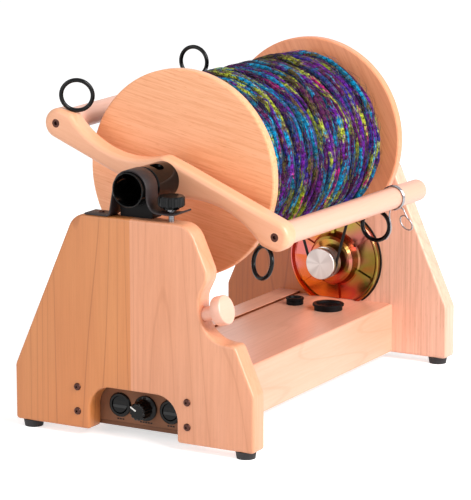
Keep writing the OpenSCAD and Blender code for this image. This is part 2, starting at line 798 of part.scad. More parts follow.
// Outline of the arm, drawn for one half and turned about the hub for the other
arm_back = arm_y + arm_t;
arm_a = [arm_hub_w - 2, -arm_hub];
arm_b = [arm_reach - 13, -arm_end_r];
arm_chord = arm_b - arm_a;
arm_c = (arm_a + arm_b) / 2 + sqrt(pow(arm_hollow_r, 2) - pow(norm(arm_chord) / 2, 2))
        * unit([arm_chord[1], -arm_chord[0]]);
arm_from = atan2(arm_a[1] - arm_c[1], arm_a[0] - arm_c[0]);
arm_to = atan2(arm_b[1] - arm_c[1], arm_b[0] - arm_c[0]);
arm_top = 90 + atan2(-arm_hub, arm_reach - arm_hub_w)
          + asin(arm_end_r / norm([arm_reach - arm_hub_w, arm_hub]));
arm_half = concat(
    corner([0, -arm_hub], arm_a, arm_a + 20 * [sin(arm_from), -cos(arm_from)], 12, 4),
    [for (i = [3:2:21]) let (t = arm_from + (arm_to - arm_from) * i / 24)
        arm_c + arm_hollow_r * [cos(t), sin(t)]],
    corner(arm_b - 20 * [sin(arm_to), -cos(arm_to)], arm_b, [arm_reach, -arm_end_r], 12, 3),
    [for (i = [0:14]) let (t = -90 + (90 + arm_top) * i / 14)
        [arm_reach + arm_end_r * cos(t), arm_end_r * sin(t)]],
    [[arm_hub_w, arm_hub]]);
arm_outline = concat(arm_half, [for (p = arm_half) -p]);

// Faces of the arm's flat sides: the near part of each half fans out from the corner of the hub,
// and the far part from the top of the round end
arm_m = len(arm_half);
arm_mid = 10;
arm_fill = [for (b = [0, arm_m])
    each [for (f = concat([[0, arm_m - 1, arm_m], [arm_mid, arm_m - 2, arm_m - 1]],
                          [for (j = [0:arm_mid - 1]) [j, j + 1, arm_m - 1]],
                          [for (j = [arm_mid:arm_m - 4]) [j, j + 1, arm_m - 2]]))
        [for (i = f) (i + b) % (2 * arm_m)]]];

ring_in = 7.5;
ring_x = arm_reach - ring_in;
ring_drop = arm_end_r + ring_r - 0.3;
stem_r = 2;
stem_in = 9;
rod_l = (rod_end_y - arm_back) / cos(rod_lean);
rod_screw_r = 3;
rod_screw_l = 44;
rod_screw_head_r = 5;

// Frame of the flyer half that carries the lower rod (s = 1) or the upper rod (s = -1)
module at_half(s) { at_axis() rotate([0, flyer_turn + (s > 0 ? 0 : 180), 0]) children(); }

// Frame of a rod, with its axis along Y from the back of the arm
module at_rod(s) {
    at_half(s) translate([rod_x, arm_back, 0]) rotate([0, 0, -rod_lean]) children();
}

module flyer_arm() {
    color("burlywood") difference() {
        at_flyer() soft_slab(arm_outline, arm_y, arm_t, arm_edge_r, 3, arm_fill);
        at_flyer() bar(shaft_r, arm_y - 1, arm_t + 2);
        for (s = [-1, 1]) at_half(s) {
            translate([rod_x, 0, 0]) {
                bar(rod_screw_r, arm_y, arm_t + 1);
                bar(rod_screw_head_r, arm_y - 1, 5);
            }
            translate([ring_x, arm_y + arm_t / 2, -arm_end_r - over])
                cylinder(r = stem_r, h = stem_in + over);
        }
    }
}

module rod_screws() {
    color("dimgray") for (s = [-1, 1]) at_half(s) translate([rod_x, arm_y, 0]) {
        bar(rod_screw_r, 4, rod_screw_l - 4);
        difference() {
            bar(rod_screw_head_r, 0.6, 3.4);
            rotate([-90, 0, 0]) cylinder(r = 2.6, h = 3.2, $fn = 6);
        }
    }
}

module rod(s) {
    round_r = rod_r / 2;
    difference() {
        at_rod(s) turned(concat([[0, -2], [rod_r, -2]],
            [for (a = [0:15:90]) [rod_r - round_r + round_r * cos(a),
                                  rod_l - round_r * 0.7 + round_r * 0.7 * sin(a)]],
            [[0, rod_l]]));
        at_half(s) translate([rod_x, 0, 0]) {
            bar(rod_screw_r, arm_back - 1, rod_screw_l - arm_t + 1);
            translate([-2 * rod_r, arm_back - 5, -2 * rod_r]) cube([4 * rod_r, 5, 4 * rod_r]);
        }
    }
}

module rod_right() { color("bisque") rod(1); }

module rod_left() { color("bisque") rod(-1); }

// Ring of round wire in the XZ plane
module wire_ring(r, w) {
    rotate([90, 0, 0]) rotate_extrude($fn = 72) translate([r - w, 0]) circle(r = w, $fn = 24);
}

// Fixed yarn ring, held by a stem in the end of the arm
module arm_ring(s) {
    at_half(s) translate([ring_x, arm_y + arm_t / 2, -ring_drop]) rotate([0, 0, -ring_turn]) {
        wire_ring(ring_r, ring_wire_r);
        translate([0, 0, ring_r - ring_wire_r])
            cylinder(r = stem_r, h = ring_drop - ring_r + ring_wire_r - arm_end_r + stem_in);
    }
}

module arm_ring_right() { color("black") arm_ring(1); }

module arm_ring_left() { color("black") arm_ring(-1); }

// Sliding hook: a wire clip round the rod, a ring for the yarn and a loop to squeeze
clip_r = rod_r + clip_gap + 2 * clip_wire_r;
hook_arm_l = clip_r + 6.2 + ring_r;
hook_arm_a = 257.6;
squeeze_r = 7.9;
squeeze_at = [26.3, -22.6];
squeeze_from = [cos(-28), sin(-28)] * (clip_r - clip_wire_r);
squeeze_to = squeeze_at + [cos(25), sin(25)] * (squeeze_r - clip_wire_r);

module at_hook(s) { at_rod(s) translate([0, hook_y - arm_back, 0]) children(); }

module hook_clip(s) {
    leg = squeeze_to - squeeze_from;
    at_hook(s) {
        wire_ring(clip_r, clip_wire_r);
        rotate([0, -hook_arm_a, 0])
            along_x(clip_wire_r, clip_r - clip_wire_r,
                    hook_arm_l - ring_r + ring_wire_r - clip_r + clip_wire_r);
        translate([squeeze_at[0], 0, squeeze_at[1]]) wire_ring(squeeze_r, clip_wire_r);
        translate([squeeze_from[0], 0, squeeze_from[1]]) rotate([0, -atan2(leg[1], leg[0]), 0])
            along_x(clip_wire_r, 0, norm(leg));
    }
}

module hook_ring(s) {
    at_hook(s) rotate([0, -hook_arm_a, 0]) difference() {
        translate([hook_arm_l, 0, 0]) wire_ring(ring_r, ring_wire_r);
        along_x(clip_wire_r, clip_r, hook_arm_l - ring_r + ring_wire_r - clip_r);
    }
}

module hook_right_clip() { color("silver") hook_clip(1); }

module hook_left_clip() { color("silver") hook_clip(-1); }

module hook_right_ring() { color("black") hook_ring(1); }

module hook_left_ring() { color("black") hook_ring(-1); }

// Orifice, collar and shaft
tube_in = 14;
outlet_r = 7;

module orifice_tube() {
    end = collar_y + tube_in;
    color("#161617") at_flyer() turned([
        [tube_bore_r, 0.6 - tube_proud], [tube_bore_r + 0.6, -tube_proud],
        [tube_r - 0.6, -tube_proud], [tube_r, 0.6 - tube_proud], [tube_r, end],
        [tube_bore_r, end]]);
}

module outlet_collar() {
    end = collar_y + tube_in;
    outlet_y = collar_y + tube_in + 4;
    color("#1b1b1c") at_flyer() difference() {
        turned([[tube_r, collar_y], [collar_r - 1, collar_y], [collar_r, collar_y + 1],
                [collar_r, arm_y], [0, arm_y], [0, collar_end_y], [tube_bore_r - 4, collar_end_y],
                [tube_bore_r, collar_end_y - 4], [tube_bore_r, end], [tube_r, end]]);
        for (y = [-2, 2]) translate([0, outlet_y + y, -collar_r - over])
            cylinder(r = outlet_r, h = 2 * (collar_r + over));
        translate([-outlet_r, outlet_y - 2, -collar_r - over])
            cube([2 * outlet_r, 4, 2 * (collar_r + over)]);
    }
}

module flyer_shaft() { color("silver") at_flyer() bar(shaft_r, arm_y, shaft_end_y - arm_y); }

// Bobbin
bush_bore_r = shaft_r + fit;
winding_y = bobbin_y + flange_t;

module flange(y) {
    bevel = 2;
    at_axis() difference() {
        translate([0, y, 0]) turned([
            [0, 0], [flange_r - bevel, 0], [flange_r - 0.5, 0.7], [flange_r, bevel],
            [flange_r, flange_t - bevel], [flange_r - 0.5, flange_t - 0.7],
            [flange_r - bevel, flange_t], [0, flange_t]]);
        bar(bush_r, y - 1, flange_t + 2);
    }
}

module front_flange() { color("peru") flange(bobbin_y); }

module rear_flange() { color("peru") flange(flange_back_y); }

module bobbin_core() {
    color("burlywood") at_axis() difference() {
        bar(core_r, winding_y, winding_l);
        bar(bush_r, winding_y - 1, winding_l + 2);
    }
}

module bobbin_bushes() {
    l = flange_t + bush_l;
    color("black") at_axis() for (y = [bobbin_y, flange_back_y - bush_l]) difference() {
        bar(bush_r, y, l);
        bar(bush_bore_r, y - 1, l + 2);
    }
}

module drive_whorl() {
    rim = whorl_r + 3;
    y = belt_y;
    color("burlywood") at_axis() difference() {
        turned([[0, whorl_y], [rim - 1, whorl_y], [rim, whorl_y + 1], [rim, y - groove_half - 1],
                [whorl_r - groove_floor, y - groove_half], [whorl_r - groove_floor, y + groove_half],
                [rim, y + groove_half + 1], [rim, whorl_y + whorl_l - 1],
                [rim - 1, whorl_y + whorl_l], [rim - 9, whorl_y + whorl_l],
                [rim - 11, whorl_y + whorl_l - 3], [bush_r + 6, whorl_y + whorl_l - 3],
                [bush_r + 4, whorl_y + whorl_l], [0, whorl_y + whorl_l]]);
        bar(shaft_r + 2, whorl_y - 1, whorl_l + 2);
    }
}

// Wound yarn: one strand over a plain core, its two ends led down into the core
lane_gap = 0.35;
yarn_line_r = yarn_r - strand_r;
yarn_bend = strand_r + 1.3;
yarn_tail = 2 * strand_r;
yarn_first = winding_y + strand_r + lane_gap;
yarn_room = winding_l - 2 * (strand_r + lane_gap);
yarn_loops = floor(yarn_room / (2 * strand_r + loop_gap));
yarn_pitch = yarn_room / yarn_loops;
yarn_sides = 6;
yarn_rings = 24;
yarn_core_r = (yarn_line_r - strand_r) * cos(180 / yarn_rings) - 0.3;

// A strand point at radius r and offset t along the turn, in the turn's direction a
function strand_at(a, y, r, t) = [r * cos(a) - t * sin(a), y, r * sin(a) + t * cos(a)];

// Rings of the strand as [centre, outward direction]
yarn_end_y = yarn_first + yarn_pitch * yarn_loops;
yarn_start = concat(
    [[strand_at(0, yarn_first, yarn_line_r - yarn_bend - yarn_tail, -yarn_bend), [0, 0, -1]]],
    [for (i = [4:-1:1]) let (b = i * 22.5)
        [strand_at(0, yarn_first, yarn_line_r - yarn_bend * (1 - cos(b)), -yarn_bend * sin(b)),
         [cos(b), 0, -sin(b)]]]);
yarn_turns = [for (k = [0:yarn_rings * yarn_loops]) let (a = k * 360 / yarn_rings)
    [strand_at(a, yarn_first + yarn_pitch * k / yarn_rings, yarn_line_r, 0),
     [cos(a), 0, sin(a)]]];
yarn_finish = concat(
    [for (i = [1:4]) let (b = i * 22.5)
        [strand_at(0, yarn_end_y, yarn_line_r - yarn_bend * (1 - cos(b)), yarn_bend * sin(b)),
         [cos(b), 0, sin(b)]]],
    [[strand_at(0, yarn_end_y, yarn_line_r - yarn_bend - yarn_tail, yarn_bend), [0, 0, 1]]]);
yarn_path = concat(yarn_start, yarn_turns, yarn_finish);

yarn_lane_gap = min([for (k = [0:yarn_rings * (yarn_loops - 1)])
    norm(yarn_turns[k + yarn_rings][0] - yarn_turns[k][0])]) - 2 * strand_r;
yarn_end_gap = min([for (e = yarn_start, k = [yarn_rings / 2:2 * yarn_rings])
    norm(yarn_turns[k][0] - e[0])]) - 2 * strand_r;
echo(least_gap_between_loops = min(yarn_lane_gap, yarn_end_gap));

module strand(path) {
    n = yarn_sides;
    points = [for (p = path, i = [0:n - 1]) let (b = i * 360 / n)
        p[0] + strand_r * (cos(b) * p[1] + sin(b) * [0, 1, 0])];
    last = len(path) - 1;
    walls = [for (k = [0:last - 1], i = [0:n - 1])
        let (j = (i + 1) % n, a = k * n + i, b = k * n + j)
        each [[a, b, b + n], [a, b + n, a + n]]];
    caps = [for (i = [1:n - 2]) each [[0, i + 1, i], [last * n, last * n + i, last * n + i + 1]]];
    polyhedron(points, concat(walls, caps), convexity = 10);
}

module yarn_core() {
    color("rebeccapurple") at_axis() difference() {
        bar(yarn_core_r, winding_y, winding_l);
        bar(core_r, winding_y - 1, winding_l + 2);
        for (e = [[yarn_first, -yarn_bend], [yarn_end_y, yarn_bend]])
            translate([0, e[0], e[1]])
                along_x(strand_r + 0.4, yarn_line_r - yarn_bend - yarn_tail, yarn_tail + 20);
    }
}

module yarn_winding() { color("slateblue") at_axis() strand(yarn_path); }

// Loose pieces
module along_x_turned(profile) { rotate([0, 90, 0]) rotate_extrude($fn = 96) polygon(profile); }

module hook_handle() {
    knob_from = 12.4;
    knob_to = 25.4;
    color("bisque") at_handle() difference() {
        union() {
            along_x(dowel_r, -dowel_l, dowel_l + knob_from + 1);
            along_x_turned([[0, knob_from], [handle_r - 3, knob_from],
                            [handle_r - 0.9, knob_from + 1.2],
                            [handle_r, knob_from + 4], [handle_r, knob_to - 5],
                            [handle_r - 0.9, knob_to - 2], [handle_r - 3.5, knob_to],
                            [0, knob_to]]);
        }
        along_x(wire_r, -dowel_l - 1, 16);
    }
}

module hook_wire() {
    color("silver") at_handle() {
        along_x(wire_r, -dowel_l - wire_l + 6, wire_l + 9);
        translate([-dowel_l - wire_l + 6, 0, wire_r]) rotate([90, 0, 0]) rotate([0, 0, 90])
            rotate_extrude(angle = 180, $fn = 48) translate([wire_r, 0]) circle(r = wire_r - 0.3);
    }
}

large_reducer_at = [25, back_y - 64.8, box_h];
small_reducer_at = [-24.5, back_y - 59.8, box_h];

module reducer(at, profile) {
    at_frame() translate(at) rotate_extrude($fn = 96) polygon(profile);
}

module large_reducer() {
    r = large_reducer_r;
    h = large_reducer_h;
    color("black") reducer(large_reducer_at, [
        [reducer_bore_r, 0], [r - 1.9, 0], [r - 1.9, h - 3], [r, h - 2.6], [r, h - 0.6],
        [r - 0.6, h], [r - 4.5, h], [r - 6, h - 2], [reducer_bore_r, h - 3]]);
}

module small_reducer() {
    r = small_reducer_r;
    h = small_reducer_h;
    color("black") reducer(small_reducer_at, [
        [reducer_bore_r, 0], [r - 1.7, 0], [r - 0.6, 0.6], [r - 0.6, h - 4], [r - 1.4, h - 3.6],
        [r - 1.4, h - 2.8], [r, h - 2.4], [r, h - 0.6], [r - 0.6, h], [r - 3, h],
        [r - 3.8, h - 2.5], [reducer_bore_r, h - 3]]);
}

front_panel();
rear_panel();
box_top();
top_strip();
box_right_side();
box_left_side();
box_bottom();
control_board();
circuit_board();
speed_pot();
power_switch_body();
direction_switch_body();
feet();
front_panel_screws();
rear_panel_screws();
saddle_block();
tension_strap();
strap_screw();
tension_stud();
rear_bearing_block();
rear_bearing();
motor_cap();
motor_can();
power_inlet();
drive_belt();
flyer_arm();
orifice_tube();
outlet_collar();
rod_left();
rod_right();
rod_screws();
arm_ring_left();
arm_ring_right();
flyer_shaft();
front_flange();
rear_flange();
bobbin_core();
bobbin_bushes();
drive_whorl();
yarn_core();
yarn_winding();
motor_pulley();
motor_shaft();
hook_left_clip();
hook_left_ring();
hook_right_clip();
hook_right_ring();
brake_washer();
brake_knob();
speed_knob();
speed_spindle();
power_rocker();
direction_rocker();
hook_handle();
hook_wire();
small_reducer();
large_reducer();
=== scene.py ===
# %% [markdown]
# # An electric spinning wheel
# The wheel was drawn in CAD first, so every piece already has its place. This lesson dresses
# those pieces: it loads the fixed frame, makes the finishes of wood, leather, yarn, plastic and
# plated steel, and rebuilds the pieces whose edges or strands the eye looks for.

# %% Load the frame
import json
import math
import random

import bmesh
import bpy
from mathutils import Matrix, Vector, noise


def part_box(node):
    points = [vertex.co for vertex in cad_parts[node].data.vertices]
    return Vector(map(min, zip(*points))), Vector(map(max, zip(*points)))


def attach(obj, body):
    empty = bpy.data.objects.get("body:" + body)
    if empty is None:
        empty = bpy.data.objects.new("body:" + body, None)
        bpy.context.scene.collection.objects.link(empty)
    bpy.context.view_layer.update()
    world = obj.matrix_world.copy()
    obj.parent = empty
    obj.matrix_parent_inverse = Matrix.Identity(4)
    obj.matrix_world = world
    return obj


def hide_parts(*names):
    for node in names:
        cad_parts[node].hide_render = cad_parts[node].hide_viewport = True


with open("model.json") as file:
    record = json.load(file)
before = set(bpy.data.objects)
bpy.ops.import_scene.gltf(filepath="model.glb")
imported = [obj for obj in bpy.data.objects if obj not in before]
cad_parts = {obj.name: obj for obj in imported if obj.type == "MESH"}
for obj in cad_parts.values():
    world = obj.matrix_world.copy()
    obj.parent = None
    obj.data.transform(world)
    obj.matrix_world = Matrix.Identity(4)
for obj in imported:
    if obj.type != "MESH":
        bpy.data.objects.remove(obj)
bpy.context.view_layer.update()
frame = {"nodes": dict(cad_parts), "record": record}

# %% [markdown]
# Points are written in millimetres from the middle of the front panel's foot, the way the panels
# were drawn: X to the right, Y to the rear and Z up. These are the sizes that pieces share.

# %% Shared sizes
MM = 0.001                               # metres in a millimetre
FRONT_Y, FOOT_Z = -255.6, 8.5            # the front panel's foot in the frame
FRONT = Vector((0.0, FRONT_Y, FOOT_Z))
PANEL = 25.0                             # thickness of an end panel
BACK = 489.8                             # front face of the rear panel
AXIS_Z = 280.2                           # height of the flyer axis
MOTOR_X, MOTOR_Z = 3.0, 113.5            # axis of the motor
PIN = 0.0001                             # radius of a profile's end on its axis, never quite zero
print("the front panel stands at", [round(v * MM, 4) for v in FRONT])

# %% [markdown]
# Colours are picked from a colour wheel as sRGB hex values, but shaders add light in linear
# values, so one function converts them. Another adds a node to a material with its settings and
# links, which keeps each recipe down to one line a node.

# %% Colour and node helpers
def paint(code):
    """Linear colour of an sRGB hex code."""
    parts = [int(code[i:i + 2], 16) / 255 for i in (1, 3, 5)]
    return [v / 12.92 if v <= 0.04045 else ((v + 0.055) / 1.055) ** 2.4 for v in parts] + [1]


def add(tree, kind, settings=None, **inputs):
    """New node of a kind, with its settings, and its inputs as values or links."""
    node = tree.nodes.new("ShaderNode" + kind)
    for key, value in (settings or {}).items():
        setattr(node, key, value)
    for key, value in inputs.items():
        socket = node.inputs[int(key[1:]) if key[0] == "i" and key[1:].isdigit()
                             else key.replace("_", " ")]
        if isinstance(value, bpy.types.NodeSocket):
            tree.links.new(value, socket)
        else:
            socket.default_value = value
    return node


def calc(tree, operation, *values):
    """Result of a maths node for one to three values or links."""
    sockets = {f"i{k}": value for k, value in enumerate(values)}
    return add(tree, "Math", {"operation": operation}, **sockets).outputs[0]


def blend(tree, factor, below, above):
    """Mix of two colours."""
    return add(tree, "Mix", {"data_type": "RGBA"}, i0=factor, i6=below, i7=above).outputs[2]


def ramp(tree, factor, stops, steps="LINEAR"):
    """Colour ramp through (place, hex) stops."""
    node = add(tree, "ValToRGB", None, Fac=factor)
    node.color_ramp.interpolation = steps
    marks = node.color_ramp.elements
    while len(marks) < len(stops):
        marks.new(0.5)
    for mark, (place, code) in zip(marks, stops):
        mark.position = place
        mark.color = paint(code)
    return node.outputs["Color"]


def finish_of(name, **sockets):
    """New material with one Principled shader; returns the material, its tree and the shader."""
    made = bpy.data.materials.new(name)
    made.use_nodes = True
    tree = made.node_tree
    shader = next(n for n in tree.nodes if n.type == "BSDF_PRINCIPLED")
    for key, value in sockets.items():
        shader.inputs[key.replace("_", " ")].default_value = value
    return made, tree, shader


def bumped(tree, shader, height, strength, depth):
    """Relief from a height, with its depth in metres."""
    relief = add(tree, "Bump", None, Height=height, Strength=strength, Distance=depth)
    tree.links.new(relief.outputs["Normal"], shader.inputs["Normal"])


print("helpers ready")

# %% [markdown]
# Beech is a pale, fine wood. Sawn flat it shows faint darker growth lines that run along the
# board, and short fleck marks a few millimetres long. Satin lacquer warms it and leaves a soft
# highlight. The recipe stretches noise along the grain: wide noise for the tone of the board,
# banded noise for the growth lines and narrow noise for the flecks.

# %% Lacquered beech
def lacquered_wood(name, pale, warm, line, along, seed, rings, streaks, rare=0.0,
                   joint=None, second=None, tilt=0.0, fine=330.0):
    """Wood whose grain runs along X, Y or Z; a glue joint at a place in X starts a second stave.

    The line colour comes through by rings (soft growth lines), rare (their few dark crests) and
    streaks (flecks, of which fine is the number of cycles a metre). The grain leans by tilt.
    """
    made, tree, shader = finish_of(name, Roughness=0.4, IOR=1.5, Coat_Weight=0.3,
                                   Coat_Roughness=0.25)
    place = add(tree, "TexCoord").outputs["Object"]
    place = add(tree, "VectorRotate", {"rotation_type": "Y_AXIS"}, Vector=place,
                Angle=math.radians(tilt)).outputs[0]
    if joint is not None:
        across = add(tree, "SeparateXYZ", None, Vector=place).outputs["X"]
        step = calc(tree, "GREATER_THAN", across, joint)
        other_tree = (0.0, 3.1, 7.7)     # the second stave reads the noise at another place
        shift = add(tree, "VectorMath", {"operation": "SCALE"}, i0=other_tree, Scale=step)
        place = add(tree, "VectorMath", {"operation": "ADD"}, i0=place,
                    i1=shift.outputs[0]).outputs[0]

    def grain(scale, stretch, detail, rough=0.55):
        """Noise that is stretched along the grain; scale is in cycles a metre across it."""
        room = add(tree, "Mapping", None, Vector=place, Location=(seed, seed * 1.7, seed * 0.6),
                   Scale=[stretch if along == axis else 1.0 for axis in "XYZ"])
        return add(tree, "TexNoise", None, Vector=room.outputs[0], Scale=scale, Detail=detail,
                   Roughness=rough).outputs["Fac"]

    def darker(below, factor, low, high, most):
        """The colour below, drawn towards the line colour where a noise is between low and high."""
        much = add(tree, "MapRange", None, Value=factor, i1=low, i2=high, i3=0.0, i4=most)
        return blend(tree, much.outputs[0], below, paint(line))

    tone = grain(16.0, 0.1, 3.0)
    colour = ramp(tree, tone, [(0.35, pale), (0.65, warm)])
    if joint is not None:
        other = ramp(tree, tone, [(0.35, second[0]), (0.65, second[1])])
        colour = blend(tree, step, colour, other)
    wave = calc(tree, "SINE", calc(tree, "MULTIPLY", grain(9.0, 0.05, 1.0), 130.0))
    colour = darker(colour, wave, 0.0, 1.0, rings)
    much = rare
    if joint is not None:
        much = add(tree, "MapRange", None, Value=step, i3=rare, i4=rare * 0.3).outputs[0]
    colour = darker(colour, wave, 0.955, 1.0, much)
    colour = darker(colour, grain(fine, 0.03, 3.0, 0.65), 0.42, 0.78, streaks)
    pores = grain(900.0, 0.1, 2.0)
    colour = darker(colour, pores, 0.6, 0.75, streaks * 0.7)
    tree.links.new(colour, shader.inputs["Base Color"])
    bumped(tree, shader, pores, 0.1, 0.0002)
    return made


panel_beech = lacquered_wood(
    "lacquered_beech_panel", "#d78b50", "#cd7c42", "#ab602b", "Z", seed=0.3, rings=0.08,
    streaks=0.24, rare=0.6, joint=-0.001, second=("#e6a27e", "#df9871"))
# On the rear panel the left stave, left of x = 0, has darker and more orange colours: painted shade
# of the bobbin and the front panel. The right stave has the beech's own pale tone.
rear_beech_shaded_left = lacquered_wood(
    "lacquered_beech_rear_shaded_left", "#cc7438", "#bf672f", "#964c20", "Z", seed=4.1, rings=0.07,
    streaks=0.3, rare=0.4, joint=0.0, second=("#f8c6ac", "#f2ba9e"))
board_beech = lacquered_wood(
    "lacquered_beech_board", "#f5b59a", "#eda78a", "#cb8058", "Y", seed=2.2, rings=0.06,
    streaks=0.25, rare=0.2)
arm_beech = lacquered_wood(
    "turned_beech", "#f4b48e", "#eca981", "#d4885a", "X", seed=1.3, rings=0.08, streaks=0.2)
rod_beech = lacquered_wood(
    "rod_beech", "#f3bba5", "#ecaf96", "#d49474", "Y", seed=3.4, rings=0.06, streaks=0.2)
flange_veneer = lacquered_wood(
    "flange_veneer", "#fcba8c", "#f7ae7e", "#dc8347", "X", seed=5.2, rings=0.03, streaks=0.75,
    tilt=-12.0, fine=420.0)
rear_veneer = lacquered_wood(
    "flange_veneer_rear", "#f6a67c", "#f09a6c", "#cf7040", "X", seed=7.9, rings=0.03,
    streaks=0.45, tilt=-62.0, fine=420.0)
print("woods:", len(bpy.data.materials))

# %% [markdown]
# The black parts are moulded nylon and polished acetal. Both are nearly black, so the eye tells
# them apart by their highlights: broad and grey on the moulded ones, small and bright on the
# polished ones. A fine grit in the mould shows as a low relief.

# %% Plastics, rubber and leather
def moulded(name, code, rough, grit_mm, depth, cloud_code, coat=0.0, gloss=0.5):
    """Moulded plastic or rubber with a fine grit and faint clouds of a second colour."""
    made, tree, shader = finish_of(name, Roughness=rough, IOR=1.5, Coat_Weight=coat,
                                   Coat_Roughness=0.1, Specular_IOR_Level=gloss)
    place = add(tree, "TexCoord").outputs["Object"]
    grit = add(tree, "TexNoise", None, Vector=place, Scale=1000 / grit_mm, Detail=3.0)
    cloud = add(tree, "TexNoise", None, Vector=place, Scale=40.0, Detail=2.0)
    tint = ramp(tree, cloud.outputs["Fac"], [(0.35, code), (0.75, cloud_code)])
    tree.links.new(tint, shader.inputs["Base Color"])
    bumped(tree, shader, grit.outputs["Fac"], 0.25, depth)
    return made


moulded_nylon = moulded("moulded_nylon", "#0b0a0b", 0.45, 1.2, 0.00008, "#100f10", gloss=0.12)
polished_acetal = moulded("polished_acetal", "#070707", 0.12, 2.0, 0.00002, "#0a0a0b", gloss=0.2)
foot_rubber = moulded("foot_rubber", "#1b1719", 0.7, 0.9, 0.0001, "#2a2628")
belt_rubber = moulded("belt_rubber", "#0f0d0e", 0.5, 0.8, 0.00006, "#171415", gloss=0.25)
brown_laminate = moulded("brown_laminate", "#8a5f46", 0.6, 1.5, 0.00004, "#7b543e", gloss=0.2)
under_board = moulded("brown_hardboard", "#7a533d", 0.6, 1.0, 0.0001, "#6e4a37", gloss=0.2)
green_laminate = moulded("green_laminate", "#16502c", 0.3, 2.0, 0.00003, "#1c5d35", coat=0.3)
motor_enamel = moulded("motor_enamel", "#4b4d52", 0.4, 1.0, 0.00003, "#54565b", coat=0.2)
brake_leather = moulded("oiled_leather", "#1b1314", 0.48, 1.6, 0.0003, "#2b1f1f", gloss=0.35)
print("plastics:", len(bpy.data.materials))

# %% [markdown]
# Metals keep a metallic of one and are told apart by tint, roughness and the marks of the tool.
# Fine scratches vary the tint and stand as a very low relief.

# %% Metals
def bright_metal(name, code, rough, worn):
    """Bare or plated metal with fine scratches, towards a worn colour."""
    made, tree, shader = finish_of(name, Metallic=1.0, Roughness=rough)
    place = add(tree, "TexCoord").outputs["Object"]
    scratch = add(tree, "TexNoise", None, Vector=place, Scale=1250.0, Detail=3.0)
    tint = ramp(tree, scratch.outputs["Fac"], [(0.3, code), (0.8, worn)])
    tree.links.new(tint, shader.inputs["Base Color"])
    bumped(tree, shader, scratch.outputs["Fac"], 0.1, 0.00002)
    return made


bright_steel = bright_metal("bright_steel", "#a9a9ac", 0.2, "#8f8f94")
stud_steel = bright_metal("machined_steel", "#8c8c90", 0.3, "#7a7a7e")
bronzed_steel = bright_metal("bronzed_steel", "#5c3f38", 0.35, "#3c2724")
print("metals:", len(bpy.data.materials))

# %% [markdown]
# A turned face catches the light in fans: its fine rings run round the centre, so the highlight
# spreads across them. Here the rings are a sine of the radius, used as relief, and the fans are
# painted highlight: a lighter and darker tint from noise that is read by angle only. Yellow zinc
# plating is a thin film over steel, and such a film shows interference colours, so pink, green and
# gold drift over the pressed cap.

# %% Turned aluminium and yellow zinc
motor_axis = Vector((MOTOR_X, 0.0, MOTOR_Z + FOOT_Z)) * MM


def round_place(tree, centre):
    """Place, angle and radius of a surface point round an axis along Y."""
    place = add(tree, "TexCoord").outputs["Object"]
    local = add(tree, "VectorMath", {"operation": "SUBTRACT"}, i0=place, i1=centre[:])
    parts = add(tree, "SeparateXYZ", None, Vector=local.outputs[0])
    angle = calc(tree, "ARCTAN2", parts.outputs["Z"], parts.outputs["X"])
    flat = add(tree, "CombineXYZ", None, X=parts.outputs["X"], Z=parts.outputs["Z"])
    radius = add(tree, "VectorMath", {"operation": "LENGTH"}, i0=flat.outputs[0])
    return local.outputs[0], angle, radius.outputs["Value"]


turned_aluminium, tree, shader = finish_of("turned_aluminium", Metallic=1.0, Roughness=0.34)
_, angle, radius = round_place(tree, motor_axis)
ring_wave = calc(tree, "SINE", calc(tree, "MULTIPLY", radius, 9000.0))
fan_place = add(tree, "CombineXYZ", None, X=angle)
fans = add(tree, "TexNoise", None, Vector=fan_place.outputs[0], Scale=0.7, Detail=1.0)
# Painted highlight: fans of lighter tint round the motor axis.
painted_fan_light = ramp(tree, fans.outputs["Fac"],
                [(0.35, "#c2b9b5"), (0.5, "#dad3cf"), (0.65, "#c5bcb8")])
tree.links.new(painted_fan_light, shader.inputs["Base Color"])
bumped(tree, shader, ring_wave, 0.15, 0.00003)

yellow_zinc, tree, shader = finish_of("yellow_zinc", Metallic=1.0, Roughness=0.2)
local, angle, _ = round_place(tree, motor_axis)
drift = add(tree, "TexNoise", None, Vector=local, Scale=26.0, Detail=1.0, Distortion=0.6)
turn_part = calc(tree, "MULTIPLY_ADD", angle, 0.5 / math.pi, 0.31)
tone = calc(tree, "MULTIPLY_ADD", drift.outputs["Fac"], 0.42, turn_part)
film = ramp(tree, tone, [
    (0.0, "#cc7068"), (0.12, "#cc5f1c"), (0.25, "#bf5020"), (0.36, "#b03a2c"), (0.48, "#8a8038"),
    (0.6, "#b4645c"), (0.75, "#9c8a3c"), (0.88, "#c27238"), (1.0, "#cc7068")])
tree.links.new(film, shader.inputs["Base Color"])
sheet_waves = add(tree, "TexNoise", None, Vector=local, Scale=60.0, Detail=1.0)
bumped(tree, shader, sheet_waves.outputs["Fac"], 0.25, 0.0006)
print("cap and pulley finishes ready")

# %% [markdown]
# ## Pieces
# Cut wood has worked edges, and the light runs along them. A slab is therefore a stack of
# outlines, each drawn in a little more as it nears a face. Outlines are lists of corners with a
# radius each, in the plane of the end panels.

# %% Outline helpers
def rounded(corners):
    """Points of a closed outline through (x, z, radius, steps) corners."""
    points = []
    for i, (x, z, r, steps) in enumerate(corners):
        here = Vector((x, z))
        to_last = (Vector(corners[i - 1][:2]) - here).normalized()
        to_next = (Vector(corners[(i + 1) % len(corners)][:2]) - here).normalized()
        if r <= 0:
            points.append(here)
            continue
        half = to_last.angle(to_next) / 2
        middle = here + (to_last + to_next).normalized() * r / math.sin(half)
        start = here + to_last * r / math.tan(half) - middle
        end = here + to_next * r / math.tan(half) - middle
        turn = math.atan2(start.x * end.y - start.y * end.x, start.dot(end))
        first = math.atan2(start.y, start.x)
        for k in range(steps + 1):
            a = first + turn * k / steps
            points.append(middle + r * Vector((math.cos(a), math.sin(a))))
    return points


